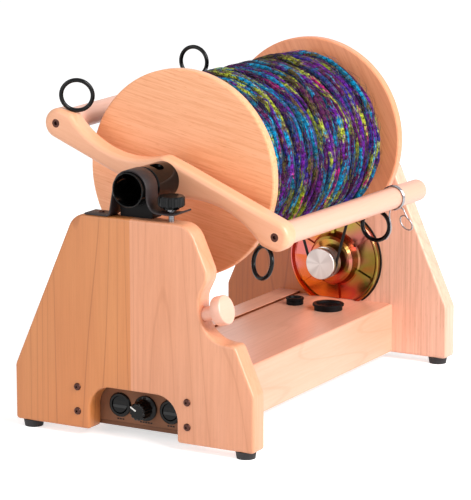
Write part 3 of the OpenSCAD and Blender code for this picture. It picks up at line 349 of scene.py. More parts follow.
def drawn_in(points, d):
    """Outline moved inwards by d on every side; it runs anticlockwise."""
    moved = []
    for i, here in enumerate(points):
        u = (here - points[i - 1]).normalized()
        v = (points[(i + 1) % len(points)] - here).normalized()
        moved.append(here + d * Vector((-u.y - v.y, u.x + v.x)) / (1 + u.dot(v)))
    return moved


def skin(rows, n, ends="capped"):
    """Faces round rows of n points, whose two ends are capped, open or joined to each other."""
    faces = [(k * n + i, k * n + (i + 1) % n, (k + 1) % rows * n + (i + 1) % n,
              (k + 1) % rows * n + i)
             for k in range(rows if ends == "joined" else rows - 1) for i in range(n)]
    if ends == "capped":
        faces += [tuple(range(n)), tuple(range((rows - 1) * n, rows * n))]
    return faces


def placed(name, data):
    """New object in the scene."""
    thing = bpy.data.objects.new(name, data)
    bpy.context.scene.collection.objects.link(thing)
    return thing


def outward(mesh, weld=None):
    """Turns all faces outwards; points closer than a weld distance become one first."""
    shape = bmesh.new()
    shape.from_mesh(mesh)
    if weld:
        bmesh.ops.remove_doubles(shape, verts=shape.verts, dist=weld)
    bmesh.ops.recalc_face_normals(shape, faces=shape.faces)
    shape.to_mesh(mesh)
    shape.free()


def piece(name, verts, faces, finish, body, replaces, slot, crease, turn=None):
    """Mesh object from millimetre points, riding on a body.

    The points count from the front panel's foot, or from the place that a turn matrix gives.
    """
    mesh = bpy.data.meshes.new(name)
    if turn is None:
        verts = [(Vector(v) + FRONT) * MM for v in verts]
    else:
        verts = [Vector(v) * MM for v in verts]
    mesh.from_pydata(verts, [], faces)
    outward(mesh)
    for face in mesh.polygons:
        face.use_smooth = True
    mesh.set_sharp_from_angle(angle=math.radians(crease))
    mesh.materials.append(finish)
    thing = placed(name, mesh)
    if turn is not None:
        thing.matrix_world = turn
    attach(thing, body)
    if replaces:
        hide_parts(*replaces)
    print(name, len(mesh.polygons), "faces")
    return thing


def soft_slab(points, y, thick, r, steps=4):
    """Slab in the XZ plane with all its edges rounded, as points and faces."""
    turns = [math.pi / 2 * k / steps for k in range(steps + 1)]
    rows = [(r * (1 - math.cos(a)), r * (1 - math.sin(a))) for a in turns]
    rows += [(thick - d, i) for d, i in reversed(rows)]
    verts = []
    for depth, inset in rows:
        verts += [(p.x, y + depth, p.y) for p in drawn_in(points, inset)]
    n = len(points)
    caps = [tuple(range(n)), tuple(reversed(range((len(rows) - 1) * n, len(rows) * n)))]
    return verts, caps + skin(len(rows), n, "open")


print("outline helpers ready")

# %% [markdown]
# The front panel is a trapezium with a hollow for the hand on its right edge and an arch over
# the controls. Both are cut with the same router bit as the outer edges, so all edges share one
# radius. One outline holds the whole contour, which keeps that radius running round it.

# %% Front panel
HALF, UPRIGHT = 155.4, 64.4              # half width, and height of the upright edge
TOP_HALF, TALL = 74.3, 247.0             # half width of the top, and height
EDGE = 3.0                               # radius of the worked edges
ARCH = 51.3                              # height of the arch over the controls
BOWL_LOW, BOWL_HIGH, BOWL_LIP = 118.5, 168.9, 192.3   # heights of the hollow for the hand


def slant_x(z):
    """Half width of a panel at a height on its slanting edge."""
    return HALF - (z - UPRIGHT) * (HALF - TOP_HALF) / (TALL - UPRIGHT)


bowl_x = slant_x(BOWL_LOW) - 44.7
front_outline = rounded([
    (58, 0, 3.6, 4), (HALF, 0, 4, 4), (HALF, UPRIGHT, 12, 6), (slant_x(BOWL_LOW), BOWL_LOW, 8, 8),
    (bowl_x, BOWL_LOW, 35, 22), (bowl_x, BOWL_HIGH, 25, 10), (slant_x(BOWL_LIP), BOWL_LIP, 20, 10),
    (TOP_HALF, TALL, 24, 12), (-TOP_HALF, TALL, 24, 12), (-HALF, UPRIGHT, 12, 6), (-HALF, 0, 4, 4),
    (-56, 0, 3.6, 4), (-56, ARCH, 27, 16), (58, ARCH, 27, 16)])
piece("front_panel_beech", *soft_slab(front_outline, 0, PANEL, EDGE), panel_beech, "base",
      ["front_panel"], "lacquered_beech", 30)
print("front panel contour has", len(front_outline), "points")

# %% [markdown]
# The arm of the flyer is S-shaped: a hub in the middle, a long hollow edge on one side of each
# half and a straight one on the other, and a round end for the rod. Its edges are rounded far
# more than the panels'. One half is drawn, and the other is the same half turned about the hub.

# %% Flyer arm
flyer_turn = (Matrix.Translation((0, FRONT_Y * MM, (AXIS_Z + FOOT_Z) * MM))
              @ Matrix.Rotation(math.radians(20.2), 4, "Y"))
hub, hub_w, reach, end_r, hollow_r = 23.5, 13.0, 150.0, 17.5, 108.0
arm_y, arm_thick, arm_edge = 70.5, 25, 6.0
low_a, low_b = Vector((hub_w - 2, -hub)), Vector((reach - 13, -end_r))
chord = low_b - low_a
bow = math.sqrt(hollow_r ** 2 - (chord.length / 2) ** 2)
middle = (low_a + low_b) / 2 + bow * Vector((chord.y, -chord.x)).normalized()
turn_a = math.atan2(*(low_a - middle).yx)
turn_b = math.atan2(*(low_b - middle).yx)
far_out = math.hypot(reach - hub_w, hub)
upper = math.radians(90) + math.atan2(-hub, reach - hub_w) + math.asin(end_r / far_out)
along_a = low_a + 20 * Vector((math.sin(turn_a), -math.cos(turn_a)))
along_b = low_b - 20 * Vector((math.sin(turn_b), -math.cos(turn_b)))
corner_a = rounded([(0, -hub, 0, 1), (*low_a, 12, 8), (*along_a, 0, 1)])[1:-1]
corner_b = rounded([(*along_b, 0, 1), (*low_b, 12, 6), (reach, -end_r, 0, 1)])[1:-1]
arm_half = corner_a + [middle + hollow_r * Vector((math.cos(t), math.sin(t)))
                       for t in (turn_a + (turn_b - turn_a) * (i + 0.5) / 30 for i in range(1, 29))]
arm_half += corner_b
arm_half += [Vector((reach + end_r * math.cos(t), end_r * math.sin(t)))
             for t in (-math.pi / 2 + (math.pi / 2 + upper) * i / 36 for i in range(37))]
arm_half += [Vector((hub_w, hub))]
arm_outline = arm_half + [-p for p in arm_half]
verts, faces = soft_slab(arm_outline, arm_y, arm_thick, arm_edge, 6)
piece("flyer_arm_beech", verts, faces, arm_beech, "flyer", ["flyer_arm"], "turned_beech", 30,
      turn=flyer_turn)

# %% [markdown]
# Holes are cut after the slab is made, the way they are drilled in the shop. The arm gets the two
# counterbores that sink the rod screws, the front panel the deep bore that the threading hook is
# parked in, and the rear panel the round opening of the motor and the small one of the power
# inlet.

# %% Drilled holes and the rear panel
def lathe(profile, axis, centre, steps=96):
    """Points and faces of a profile of (radius, along) that is turned about X, Y or Z."""
    verts, faces = [], []
    n = len(profile)
    for k in range(steps):
        a = 2 * math.pi * k / steps
        for r, h in profile:
            u, v = r * math.cos(a), r * math.sin(a)
            spot = {"X": (h, u, v), "Y": (u, h, v), "Z": (u, v, h)}[axis]
            verts.append([c + s for c, s in zip(centre, spot)])
    for k in range(steps):
        for i in range(n - 1):
            a, b = k * n + i, (k + 1) % steps * n + i
            faces.append((a, b, b + 1, a + 1))
    return verts, faces


def drilled(thing, holes, turn=Matrix.Identity(4)):
    """Cuts round holes, given as (radius, axis, centre, length) in the turned piece."""
    for r, axis, centre, length in holes:
        verts, faces = lathe([(PIN, 0), (r, 0), (r, length), (PIN, length)], axis, centre, 64)
        mesh = bpy.data.meshes.new("bit")
        mesh.from_pydata([Vector(v) * MM for v in verts], [], faces)
        outward(mesh, 1e-6)
        bit = placed("bit", mesh)
        bit.matrix_world = thing.matrix_world @ turn
        cut = thing.modifiers.new("cut", "BOOLEAN")
        cut.operation = "DIFFERENCE"
        cut.solver = "EXACT"
        cut.object = bit
        bpy.context.view_layer.update()
        seen = thing.evaluated_get(bpy.context.evaluated_depsgraph_get())
        done = bpy.data.meshes.new_from_object(seen)
        thing.modifiers.clear()
        thing.data = done
        bpy.data.objects.remove(bit)
    thing.data.set_sharp_from_angle(angle=math.radians(30))
    print(thing.name, "has", len(holes), "holes,", len(thing.data.polygons), "faces")


drilled(bpy.data.objects["flyer_arm_beech"],
        [(5.0, "Y", (side * 151.3, arm_y - 1, 0), 5.4) for side in (-1, 1)])
handle_turn = (Matrix.Translation((Vector((bowl_x + 4.6, PANEL / 2, 148.4)) + FRONT) * MM)
               @ Matrix.Rotation(math.radians(-17.2), 4, "Y"))
drilled(bpy.data.objects["front_panel_beech"],
        [(8.15, "X", (-30, 0, 0), 40), (4.8, "X", (-170, 0, 0), 145)], handle_turn)
rear_outline = rounded([
    (HALF, 0, 4, 4), (HALF, UPRIGHT, 12, 6), (TOP_HALF, TALL, 24, 12), (-TOP_HALF, TALL, 24, 12),
    (-HALF, UPRIGHT, 12, 6), (-HALF, 0, 4, 4)])
rear = piece("rear_panel_beech", *soft_slab(rear_outline, BACK, PANEL, EDGE), rear_beech_shaded_left, "base",
             ["rear_panel"], "lacquered_beech", 30)
drilled(rear, [(57.2, "Y", (MOTOR_X, BACK - 1 + FRONT.y, MOTOR_Z + FOOT_Z), PANEL + 2),
               (7.0, "Y", (-38, BACK - 1 + FRONT.y, 36.5), PANEL + 2)])

# %% [markdown]
# The brake is a leather strap: it is screwed down on the left, goes over the tube and ends as a
# free tongue on the stud. Leather bends in one curve, so the strap is a flat section swept along
# its middle line, with soft edges and a slight wave in its tongue.

# %% Brake leather
tube_r, strap_t, strap_w = 19.5, 2.0, 24.5
strap_line_r = tube_r + 0.3 + strap_t / 2
hub_point = Vector((0, AXIS_Z))
strap_end = -59                          # where the leather starts, at its screw
foot = Vector((-27, TALL + strap_t / 2))
low = Vector((37.5, TALL + 9.4))
tip = Vector((64.2, TALL + 13.4))


def bezier(points, count):
    """Points along a cubic curve, without its first one."""
    a, b, c, d = (Vector(p) for p in points)
    return [(1 - t) ** 3 * a + 3 * (1 - t) ** 2 * t * b + 3 * (1 - t) * t * t * c + t ** 3 * d
            for t in ((i + 1) / count for i in range(count))]


reach_down = foot - hub_point
touch = (math.atan2(reach_down.y, reach_down.x) + 2 * math.pi
         - math.acos(strap_line_r / reach_down.length))
touch_point = hub_point + strap_line_r * Vector((math.cos(touch), math.sin(touch)))
strap_line = [Vector((strap_end + 4 * i, foot.y)) for i in range(7)]
strap_line += rounded([(strap_end, foot.y, 0, 1), (*foot, 5, 8), (*touch_point, 0, 1)])[1:-1]
strap_line += [hub_point + strap_line_r * Vector((math.cos(a), math.sin(a)))
               for a in (touch * (1 - i / 48) for i in range(49))]
strap_line += bezier([hub_point + Vector((strap_line_r, 0)), (strap_line_r, low.y + 5.4),
                      low + Vector((-10.5, -0.2)), low], 16)
strap_line += bezier([low, low + Vector((12.5, 0)), tip + Vector((-9.5, -5.3)), tip], 16)
section = [(-0.5, -0.32), (-0.478, -0.5), (0.478, -0.5), (0.5, -0.32),
           (0.5, 0.32), (0.478, 0.5), (-0.478, 0.5), (-0.5, 0.32)]
verts = []
for k, spot in enumerate(strap_line):
    ahead = strap_line[min(k + 1, len(strap_line) - 1)] - strap_line[max(k - 1, 0)]
    out = Vector((-ahead.y, ahead.x)).normalized()
    for across, off in section:
        y = -1 + strap_w / 2 + across * strap_w
        verts.append((spot.x + out.x * off * strap_t, y, spot.y + out.y * off * strap_t))
piece("brake_leather_strap", verts, skin(len(strap_line), len(section)), brake_leather, "base",
      ["tension_strap"], "brake_leather", 50)

# %% [markdown]
# The belt is a stretchy round cord that runs in the grooves of the whorl and the motor pulley.
# Seen from the side it is two arcs and two straight runs, so its centre line is worked out
# from the two circles, and a round section is swept along it.

# %% Drive belt
def tube(line, radius, sides, closed=False):
    """Round section swept along points, as points and faces."""
    verts, up = [], Vector((0, 1, 0))
    count = len(line)
    for k, spot in enumerate(line):
        last = line[k - 1] if closed or k else line[0]
        after = line[(k + 1) % count] if closed or k < count - 1 else line[-1]
        ahead = (after - last).normalized()
        side = ahead.cross(up).normalized()
        lift = side.cross(ahead)
        for i in range(sides):
            a = 2 * math.pi * i / sides
            verts.append(spot + side * (radius * math.cos(a)) + lift * (radius * math.sin(a)))
    return verts, skin(count, sides, "joined" if closed else "capped")


whorl, pulley = Vector((0, 0, AXIS_Z)), Vector((MOTOR_X, 0, MOTOR_Z))
whorl_r, pulley_r, belt_y, belt_r = 65.0, 17.5, 452.0, 1.75
drop = pulley - whorl
fall = math.atan2(drop.z, drop.x)
wrap = math.acos((whorl_r - pulley_r) / drop.length)
belt_line = [whorl + whorl_r * Vector((math.cos(a), 0, math.sin(a))) + Vector((0, belt_y, 0))
             for a in (fall + wrap + (2 * math.pi - 2 * wrap) * i / 90 for i in range(91))]
belt_line += [pulley + pulley_r * Vector((math.cos(a), 0, math.sin(a))) + Vector((0, belt_y, 0))
              for a in (fall - wrap + 2 * wrap * i / 30 for i in range(31))]
piece("belt_cord", *tube(belt_line, belt_r, 14, True), belt_rubber, "base", ["drive_belt"],
      "belt_rubber", 60)

# %% [markdown]
# The bobbin carries a thick-and-thin art yarn, spun from dyed locks in teal, violet, magenta,
# navy and lime. Two plies are twisted round each other, and each ply changes colour from lock to
# lock. The recipe reads a UV map that runs along the strand: cells along it give each lock one
# dye, noise that is drawn out along the strand frays them and chooses between the plies, a weak
# sine of length plus angle makes the twist, and fine noise makes the single fibres. The twist and
# the fibres also scale the colour from dark to brighter than the dye: partly the fibres' own tone,
# partly painted highlight and shade on the fibres and the beads of the twist. Towards its
# neighbours a strand gets darker: this is painted shade in the grooves between the loops.

# %% Art yarn finish
art_yarn, tree, shader = finish_of("art_yarn", Roughness=0.68, IOR=1.45, Specular_IOR_Level=0.14)
strand_place = add(tree, "UVMap", {"uv_map": "strand"}).outputs[0]
strand_parts = add(tree, "SeparateXYZ", None, Vector=strand_place)


def strand_noise(along, across, detail, seed):
    """Noise read along the strand (cycles a turn) and round it (cycles a side)."""
    room = add(tree, "Mapping", None, Vector=strand_place, Location=(seed, seed * 2.3, 0),
               Scale=(along, across, 1.0))
    return add(tree, "TexNoise", None, Vector=room.outputs[0], Scale=1.0, Detail=detail,
               Roughness=0.6).outputs["Fac"]


dyes = [(0.0, "#220f30"), (0.06, "#4c1560"), (0.19, "#6a1a90"), (0.33, "#3f2a9c"),
        (0.41, "#028cbe"), (0.5, "#0a6484"), (0.57, "#cc0c80"), (0.6, "#5c1c50"),
        (0.72, "#655630"), (0.82, "#8a961e"), (0.91, "#b4be3a"), (0.96, "#22407a")]
twists = 80                              # turns of the ply in one loop round the bobbin


def dyed(along, ragged, across, seed):
    """Colour of a ply: one dye for each lock, with ends that fray along the strand."""
    fray = calc(tree, "MULTIPLY", strand_noise(26.0, across, 3.0, seed), ragged)
    far = calc(tree, "MULTIPLY_ADD", strand_parts.outputs["X"], along, fray)
    odd = calc(tree, "ADD", calc(tree, "FLOOR", far), seed)
    chance = add(tree, "TexWhiteNoise", {"noise_dimensions": "1D"}, W=odd)
    return ramp(tree, chance.outputs["Value"], dyes, "CONSTANT")


ply = add(tree, "MapRange", None, Value=strand_noise(24.0, 2.2, 4.0, 9.1), i1=0.46, i2=0.54)
mixed = blend(tree, ply.outputs[0], dyed(15.0, 2.2, 3.0, 0.5), dyed(25.0, 4.0, 4.0, 7.5))
glitter = add(tree, "MapRange", None, Value=strand_noise(48.0, 7.0, 4.0, 5.3),
              i1=0.6, i2=0.68, i4=0.7)
mixed = blend(tree, glitter.outputs[0], mixed, paint("#a9ac3e"))
turns = calc(tree, "MULTIPLY", strand_parts.outputs["X"], 2 * math.pi * twists)
twist = calc(tree, "SINE", calc(tree, "MULTIPLY_ADD", strand_parts.outputs["Y"], 3.0, turns))
beaded = calc(tree, "MULTIPLY_ADD", twist, 0.045, strand_noise(290.0, 13.0, 5.0, 2.7))
# Partly the fibres' own tone, partly painted highlight and shade on the fibres and the twist's
# beads.
shade = add(tree, "MapRange", None, Value=beaded, i1=0.37, i2=0.66, i3=0.05, i4=1.75)
# Painted shade: a strand darkens towards its sides, where it meets its neighbours.
painted_groove_shade = add(tree, "MapRange", None, Value=strand_parts.outputs["Y"],
           i1=0.5, i2=0.86, i3=0.16, i4=1.0)
shade = calc(tree, "MULTIPLY", shade.outputs[0], painted_groove_shade.outputs[0])
lit = add(tree, "VectorMath", {"operation": "SCALE"}, i0=mixed, Scale=shade)
tree.links.new(lit.outputs[0], shader.inputs["Base Color"])
bumped(tree, shader, beaded, 1.0, 0.003)
print("dyes:", len(dyes))

# %% [markdown]
# Wound yarn never lies in perfect lanes: a strand wanders, gets thick and thin and sinks between
# its neighbours. The strand is drawn as rings along a spiral round the flyer axis, whose radius,
# lane and height follow smooth noise. A second strand goes over it with more wander, as the last
# loops of a full bobbin do. A plain core in the same yarn fills the gaps between the loops.

# %% Wound yarn
WIND_FROM, WIND_TO = 122.7, 424.0        # inner faces of the flanges
RINGS, SIDES = 110, 9                    # rings in a loop of yarn, and corners of a ring


def strand_uv(thing, place_of):
    """UV map of a strand from a function of the point's number."""
    layer = thing.data.uv_layers.new(name="strand")
    for loop in thing.data.loops:
        layer.data[loop.index].uv = place_of(loop.vertex_index)


def wound(name, loops, line_r, strand_r, wander, height, seed, replaced=()):
    """Strand of uneven thickness wound between the flanges, with its length as UV."""
    count = RINGS * loops
    verts = []
    gap = 0.8                            # between the outermost loop and its flange
    lanes = WIND_TO - WIND_FROM - 2 * strand_r - 2 * gap
    for k in range(count + 1):
        a = 2 * math.pi * k / RINGS
        far = k / RINGS
        thick = strand_r * (1 + 0.4 * noise.noise((far * 3.1, seed, 0))
                            + 0.4 * noise.noise((far * 11, seed, 5)))
        sway = wander * (noise.noise((far * 1.7, seed, 11))
                         + 0.45 * noise.noise((far * 7, seed, 17)))
        y = WIND_FROM + strand_r + gap + lanes * min(max(k / count + sway / lanes, 0), 1)
        thick *= min(1.0, 0.08 + 1.6 * far, 0.08 + 1.6 * (loops - far))
        r = line_r + height * noise.noise((far * 4.3, seed, 23)) - max(0, thick - strand_r) * 0.5
        out = Vector((math.cos(a), 0, math.sin(a)))
        for i in range(SIDES):
            b = 2 * math.pi * i / SIDES
            flat = (1.0 if math.cos(b) > 0 else 0.8) + 0.3 * noise.noise((far * 46, i * 1.7, seed))
            verts.append(out * (r + thick * flat * math.cos(b))
                         + Vector((0, y + thick * math.sin(b), AXIS_Z)))
    faces = skin(count + 1, SIDES)
    thing = piece(name, verts, faces, art_yarn, "bobbin", replaced, "art_yarn", 80)
    # The second UV value is one where the strand faces out, a half at its sides and zero where it
    # faces in; the painted groove shade darkens it below 0.86.
    strand_uv(thing, lambda v: (v // SIDES / RINGS + seed * 7.3, abs(v % SIDES / SIDES * 2 - 1)))


verts, faces = lathe([(24, WIND_FROM), (91, WIND_FROM), (91, WIND_TO), (24, WIND_TO)],
                     "Y", (0, 0, AXIS_Z), 96)
yarn_bed = piece("yarn_bed", verts, faces, art_yarn, "bobbin", ["yarn_core"], "art_yarn", 50)
strand_uv(yarn_bed, lambda v: (v // 4 / 96, v % 4 * 9.0))
wound("yarn_under", 22, 97.0, 6.5, 7.5, 6.0, 1.0, replaced=["yarn_winding"])
wound("yarn_over", 11, 101.0, 5.0, 38.0, 4.0, 4.0)

# %% [markdown]
# The fuzz is a few thousand curved hairs in one mesh. Each starts in the winding, follows it for
# a centimetre or two and leaves it at a small angle. Three-sided hairs are enough at this size.

# %% Fuzz
random.seed(11)
HAIRS, FUZZ_R = 5200, 101.0              # number of hairs, and the radius they start from
hair_verts, hair_faces, hair_uv = [], [], []
one_hair = skin(6, 3, "open")
for _ in range(HAIRS):
    a, y = random.uniform(0, 2 * math.pi), random.uniform(WIND_FROM + 4, WIND_TO - 14)
    lean, turn = random.gauss(0, 7), random.uniform(0.05, 0.22) * random.choice((-1, 1))
    top = random.uniform(104.0, 106.8)
    dye, thin = random.uniform(0, 40), random.uniform(0.16, 0.42)
    hair_faces += [tuple(len(hair_verts) + v for v in face) for face in one_hair]
    for k in range(6):
        t = k / 5
        r = FUZZ_R + (top - FUZZ_R) * math.sin(math.pi * min(1.0, t * 1.15) * 0.75)
        along = min(max(y + lean * t * t, WIND_FROM + 1), WIND_TO - 3)
        spot = Vector((r * math.cos(a + turn * t), along, AXIS_Z + r * math.sin(a + turn * t)))
        out = Vector((math.cos(a + turn * t), 0, math.sin(a + turn * t)))
        w = thin * (1 - 0.75 * t)
        hair_verts += [spot + out * w, spot + Vector((0, w, 0)), spot - Vector((0, w, 0))]
        # A second UV value above one keeps the hairs out of the painted groove shade.
        hair_uv += [(dye + t * 0.01, 1 + i * 0.3) for i in range(3)]
fuzz = piece("yarn_fuzz", hair_verts, hair_faces, art_yarn, "bobbin", (), "art_yarn", 180)
strand_uv(fuzz, lambda v: hair_uv[v])

# %% [markdown]
# The speed knob is moulded with twelve flutes for the fingers and a skirt that hides its bush. A
# lathe can't make flutes, so the rings of points are drawn with a radius that dips twelve times
# round. The white pointer is a filled groove, here a thin strip let into the face.

# %% Speed knob
KNOB = Vector((3.5, 0, 26.8))            # middle of the control board's middle hole
flutes, flute_deep = 12, 1.1
# Each row is a radius, a place in y and the share of the flutes' depth.
knob_rows = [(0.0, 24.5, 0), (14.5, 24.5, 0), (14.5, 22.6, 0), (14.1, 22.1, 0), (11.4, 21.0, 0),
             (10.9, 20.4, 0.4), (10.6, 18.0, 1), (10.2, 6.4, 1), (9.9, 5.6, 1), (9.2, 5.0, 0.8),
             (8.0, 4.8, 0.2), (7.4, 5.1, 0), (0.0, 5.1, 0)]
knob_steps = 144
verts = []
for r, y, deep in knob_rows:
    for k in range(knob_steps):
        a = 2 * math.pi * k / knob_steps
        dip = max(0.0, math.cos(flutes * a) + 0.1) / 1.1
        reach_out = max(r - flute_deep * deep * dip ** 0.7, PIN)
        verts.append(KNOB + Vector((reach_out * math.cos(a), y, reach_out * math.sin(a))))
faces = skin(len(knob_rows), knob_steps, "open")
piece("fluted_speed_knob", verts, faces, polished_acetal, "speed_control", ["speed_knob"],
      "gloss_black", 25)


def small_bar(spots, half_wide, y, thick):
    """Flat bar between two points (x, z) of the panel plane, as points and faces."""
    a, b = (Vector(p) for p in spots)
    ahead = (b - a).normalized()
    side = Vector((-ahead.y, ahead.x)) * half_wide
    nick = ahead * half_wide * 0.5
    ring = [a + side * 0.6, a - side * 0.6, a + nick - side, b - nick - side, b - side * 0.6,
            b + side * 0.6, b - nick + side, a + nick + side]
    made = [(p.x, y, p.y) for p in ring] + [(p.x, y + thick, p.y) for p in ring]
    return made, skin(2, len(ring))


white_fill = moulded("pointer_white", "#f4f2ee", 0.5, 0.8, 0.00002, "#e6e3dd")
knob_set = math.radians(58.6)            # how far the knob is turned from upright
toward = Vector((-math.sin(knob_set), math.cos(knob_set)))
knob_spot = Vector((KNOB.x, KNOB.z))
pointer_ends = [knob_spot + toward * 1.8, knob_spot + toward * 9.9]
piece("knob_pointer", *small_bar(pointer_ends, 0.75, 4.55, 0.7), white_fill, "speed_control", (),
      "gloss_black", 30)
print("knob stands out to y =", min(y for _, y, _ in knob_rows))

# %% [markdown]
# Each control has a row of short printed dashes under it: three, five and three. Printed marks
# have no height to speak of, so they are slips that stand a tenth of a millimetre off the board.

# %% Marks of the controls
print_black = moulded("printed_black", "#141011", 0.6, 0.8, 0.00002, "#1c1718", 0.0, 0.2)
board_low, board_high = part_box("control_board")
print("control board:", [[round(v, 4) for v in corner] for corner in (board_low, board_high)])
mark_y = board_low[1] / MM - FRONT.y - 0.12
verts, faces = [], []
pitch, half_dash, dash_z = 3.4, 1.3, 10.2
for x, count in ((-30, 3), (3.5, 5), (36, 3)):
    for k in range(count):
        at = x + (k - (count - 1) / 2) * pitch
        dash_ends = [(at - half_dash, dash_z), (at + half_dash, dash_z)]
        more, sides = small_bar(dash_ends, 0.8, mark_y, 0.15)
        faces += [tuple(len(verts) + i for i in f) for f in sides]
        verts += more
piece("control_marks", verts, faces, print_black, "base", (), "control_laminate", 30)

# %% [markdown]
# A sliding hook is one length of spring wire: it is coiled three times round the rod, so that it
# grips, one end runs down beside the black ring, and the other makes a loop to squeeze with two
# fingers. Its path is drawn as points in the plane of the hook, from the middle of the rod: u runs
# towards the ring and v across. The left hook is the mirror image of the right one, and its loop
# stands out less, so that it clears the flange.

# %% Sliding hooks
def smooth_line(points, steps=4):
    """Points along a smooth curve through the given ones."""
    line = []
    for i in range(len(points) - 1):
        a, b, c, d = (Vector(points[min(max(i + k, 0), len(points) - 1)]) for k in (-1, 0, 1, 2))
        for k in range(steps):
            t = k / steps
            line.append(0.5 * (2 * b + (c - a) * t + (2 * a - 5 * b + 4 * c - d) * t * t
                               + (3 * b - a - 3 * c + d) * t ** 3))
    return line + [Vector(points[-1])]


ring_way = 237.4                         # direction from the rod to the right ring, in degrees
coil_r, ring_reach, wire_r = 14.3, 42.0, 0.85
loop_u, loop_v = 16.4, 29.2              # middle of the oval loop
long_r, wide_r = 9.8, 6.2                # its half length and half width
lean_c, lean_s = 0.97, 0.23              # cosine and sine of its lean
leg = [(47.0, 20.6), (40.5, 21.3), (33.5, 19.9), (26.8, 15.3), (20.5, 9.2)]
loop = [(4.6, 17.0)]
for k in range(21):
    a = math.radians(112 - 17.5 * k)
    loop.append((loop_u + long_r * lean_s * math.cos(a) - wide_r * lean_c * math.sin(a),
                 loop_v + long_r * lean_c * math.cos(a) + wide_r * lean_s * math.sin(a)))
for name, way, hand, short in (("hook_right", ring_way, 1, 1.0),
                               ("hook_left", ring_way - 180, -1, 0.75)):
    ring_low, ring_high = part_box(name + "_ring")
    ring_mid = (ring_low + ring_high) / 2 / MM - FRONT
    down = Vector((math.cos(math.radians(way)), 0, math.sin(math.radians(way))))
    over = Vector((-down.z, 0, down.x)) * hand
    rod_mid = ring_mid - down * ring_reach
    spots = [(u, v, -3.2 + 0.1 * i) for i, (u, v) in enumerate(leg)]
    for k in range(56):
        a = math.radians(25 + 1120 * k / 55)
        spots.append((coil_r * math.cos(a), coil_r * math.sin(a), 5.4 * (k / 55 - 0.5)))
    spots += [(u, v * short, 2.8 + 0.09 * i) for i, (u, v) in enumerate(loop)]
    path = smooth_line([rod_mid + down * u + over * v + Vector((0, y, 0)) for u, v, y in spots])
    piece(name + "_wire", *tube(path, wire_r, 10), bright_steel, name, [name + "_clip"],
          "bright_steel", 60)
    print(name, "wire is", round(sum((b - a).length for a, b in zip(path, path[1:]))), "mm long")

# %% [markdown]
# The stud that carries the brake knob is plain turned steel. Its thread is hidden in the knob, so
# only three fine tool marks show on it.

# %% Brake stud
stud_low, stud_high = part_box("tension_stud")
low_z, high_z = stud_low.z / MM - FRONT.z, stud_high.z / MM - FRONT.z
stud_x, stud_r = 45.5, 3.2
stud_profile = [(PIN, low_z), (3.0, low_z), (stud_r, low_z + 0.4)]
for z in (TALL + 2.5, TALL + 4.5, TALL + 6.5):
    stud_profile += [(stud_r, z), (3.0, z + 0.2), (stud_r, z + 0.4)]
stud_profile += [(stud_r, high_z - 0.5), (2.8, high_z), (PIN, high_z)]
verts, faces = lathe(stud_profile, "Z", (stud_x, PANEL / 2, 0), 48)
piece("brake_stud", verts, faces, stud_steel, "base", ["tension_stud"], "bright_steel", 30)

# %% [markdown]
# The threading hook is parked in its bore with its turned handle outside: a thick disc with a
# broken edge on a dowel.

# %% Handle of the threading hook
handle_profile = [(PIN, -30), (7.4, -30), (8.0, -29.2), (8.0, 12.4), (14.9, 12.4),
                  (16.0, 12.9), (16.5, 14.0), (16.5, 23.2), (16.1, 24.6), (15.0, 25.4),
                  (PIN, 25.4)]
verts, faces = lathe(handle_profile, "X", (0, 0, 0), 96)
piece("threading_handle", verts, faces, rod_beech, "threading_hook", ["hook_handle"],
      "turned_beech", 30, turn=handle_turn)

# %% [markdown]
# The pressed cap lies on the rear panel with a dark ring round under its rim.

# %% Dark ring round the motor cap
hole_r, rim_r = 61.0, 63.4
ring_profile = [(hole_r, BACK - 1.0), (63.1, BACK - 1.0), (rim_r, BACK - 0.6), (rim_r, BACK + 0.1),
          (hole_r, BACK + 0.1), (hole_r, BACK - 1.0)]
verts, faces = lathe(ring_profile, "Y", (MOTOR_X, 0, MOTOR_Z), 128)
# A dark ring under the cap's rim, in the belt's rubber finish, shows as a dark line round the cap.
piece("motor_cap_dark_ring", verts, faces, belt_rubber, "base", (), "belt_rubber", 30)

# %% [markdown]
# The raised strip lies on the top board with an open joint along its right side. The joint shows
# only as a line of shadow, so a narrow fillet in a dark colour stands in it as painted shadow.

# %% Painted shadow in the joint of the top strip
strip_low, strip_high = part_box("top_strip")
x, z = strip_high.x / MM, strip_high.z / MM - 3.0 - FRONT.z
shadow_fillet = [(x - 0.2, z - 0.2), (x + 0.6, z - 0.2), (x + 0.6, z + 0.9), (x + 0.15, z + 2.3),
        (x - 0.2, z + 2.3)]
ends = [strip_low.y / MM - FRONT.y + 0.5, strip_high.y / MM - FRONT.y - 0.5]
verts = [(px, y, pz) for y in ends for px, pz in shadow_fillet]
# Painted shadow: the fillet's dark colour stands for the shade in the open joint.
painted_joint_shadow = moulded("shadowed_beech", "#5e2a12", 0.8, 1.5, 0.0001, "#6e3418", 0.0, 0.1)
piece("top_strip_painted_shadow", verts, skin(2, len(shadow_fillet)), painted_joint_shadow, "base", (), "lacquered_beech", 30)

# %% [markdown]
# Pieces whose CAD shape is already right keep it and only take a finish: every screw, ring, rod
# and board of the frame gets the material of the real one. Three of them differ from their slot.

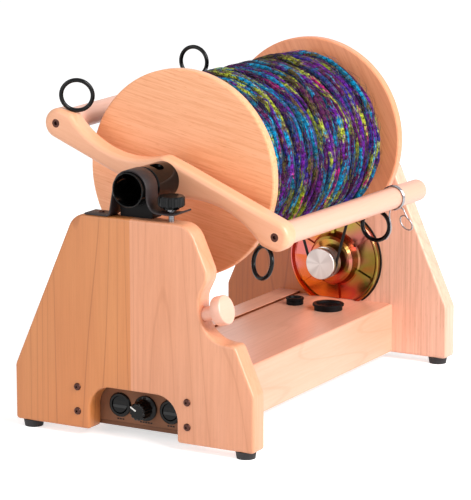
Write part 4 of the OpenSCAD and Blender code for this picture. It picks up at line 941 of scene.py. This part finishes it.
# %% Finishes of the carried-over pieces
finishes = {
    "lacquered_beech": board_beech, "turned_beech": rod_beech, "flange_veneer": flange_veneer,
    "moulded_black": moulded_nylon, "gloss_black": polished_acetal,
    "control_laminate": brown_laminate, "circuit_laminate": green_laminate,
    "foot_rubber": foot_rubber, "belt_rubber": belt_rubber, "bronzed_screws": bronzed_steel,
    "brake_leather": brake_leather, "bright_steel": bright_steel,
    "turned_aluminium": turned_aluminium, "yellow_zinc": yellow_zinc,
    "motor_steel": motor_enamel, "art_yarn": art_yarn}
own_finish = {"box_bottom": under_board, "rear_flange": rear_veneer, "brake_knob": polished_acetal}
for part in frame["record"]["subparts"]:
    node = part["node"]
    for place in frame["nodes"][node].material_slots:
        place.material = own_finish.get(node, finishes[part["material_slot"]])
print("finished", len(frame["nodes"]), "frame pieces")

# %% [markdown]
# The scene is a plain product shot: a white floor and backdrop, one large soft lamp high on
# the right, a lower one that lights the right-facing sides and a weak one from the front left.
# The floor and the backdrop look white, but throw less light on the wheel than they show.

# %% Floor and light
def seen_directly(tree):
    """One for camera and mirror rays, and zero for the light that surfaces pass on."""
    path = add(tree, "LightPath")
    return calc(tree, "MAXIMUM", path.outputs["Is Camera Ray"], path.outputs["Is Glossy Ray"])


white_floor, tree, shader = finish_of("white_floor", Roughness=0.9)
shader.inputs["Base Color"].default_value = paint("#e8e8e8")
shader.inputs["Emission Color"].default_value = (1, 1, 1, 1)
glow = calc(tree, "MULTIPLY", seen_directly(tree), 0.62)
tree.links.new(glow, shader.inputs["Emission Strength"])
floor_mesh = bpy.data.meshes.new("floor")
half_floor = 6
floor_mesh.from_pydata([(x * half_floor, y * half_floor, 0)
                        for x, y in ((-1, -1), (1, -1), (1, 1), (-1, 1))], [], [(0, 1, 2, 3)])
floor_mesh.materials.append(white_floor)
placed("floor", floor_mesh)

world = bpy.data.worlds.new("studio")
bpy.context.scene.world = world
world.use_nodes = True
tree = world.node_tree
sky = next(n for n in tree.nodes if n.type == "BACKGROUND")
strength = add(tree, "MapRange", None, Value=seen_directly(tree), i3=0.42, i4=1.0)
tree.links.new(strength.outputs[0], sky.inputs["Strength"])
sky.inputs["Color"].default_value = (1, 1, 1, 1)


def soft_lamp(name, spot, size, power):
    """Square area lamp that looks at the middle of the wheel."""
    lamp = bpy.data.lights.new(name, "AREA")
    lamp.energy = power
    lamp.size = size
    thing = placed(name, lamp)
    thing.location = spot
    thing.rotation_euler = (Vector((0, 0, 0.2)) - Vector(spot)).to_track_quat("-Z", "Y").to_euler()


soft_lamp("key", (2.45, -0.75, 2.0), 1.4, 84)
soft_lamp("side", (3.0, -0.2, 1.15), 1.0, 36)
soft_lamp("fill", (-1.0, -2.4, 1.0), 1.6, 17)
print("lamps:", [lamp.name for lamp in bpy.data.lights])

# %% [markdown]
# The camera was fitted to the photograph, so the long lens and its distance are part of the
# likeness. The focal length came out in pixels of a picture of 500 rows, and the lens wants
# millimetres on a sensor.

# %% Camera
focal_pixels, picture_rows, sensor_mm, distance = 2792.36, 500, 36, 3.21528
azimuth, elevation, roll = math.radians(29.43), math.radians(11.86), math.radians(-0.04)
target = Vector((34.22, -80.6, 192.45)) * MM
back = Vector((math.sin(azimuth) * math.cos(elevation), -math.cos(azimuth) * math.cos(elevation),
               math.sin(elevation)))
lens = bpy.data.cameras.new("camera")
lens.sensor_fit = "VERTICAL"
lens.sensor_height = sensor_mm
lens.lens = focal_pixels * sensor_mm / picture_rows
lens.clip_end = 30
camera = placed("camera", lens)
camera.location = target + back * distance
camera.rotation_euler = (back.to_track_quat("Z", "Y").to_matrix()
                         @ Matrix.Rotation(roll, 3, "Z")).to_euler()
bpy.context.scene.camera = camera
bpy.context.scene.view_settings.view_transform = "Standard"
print("camera at", [round(v, 3) for v in camera.location], "lens", round(lens.lens, 1))
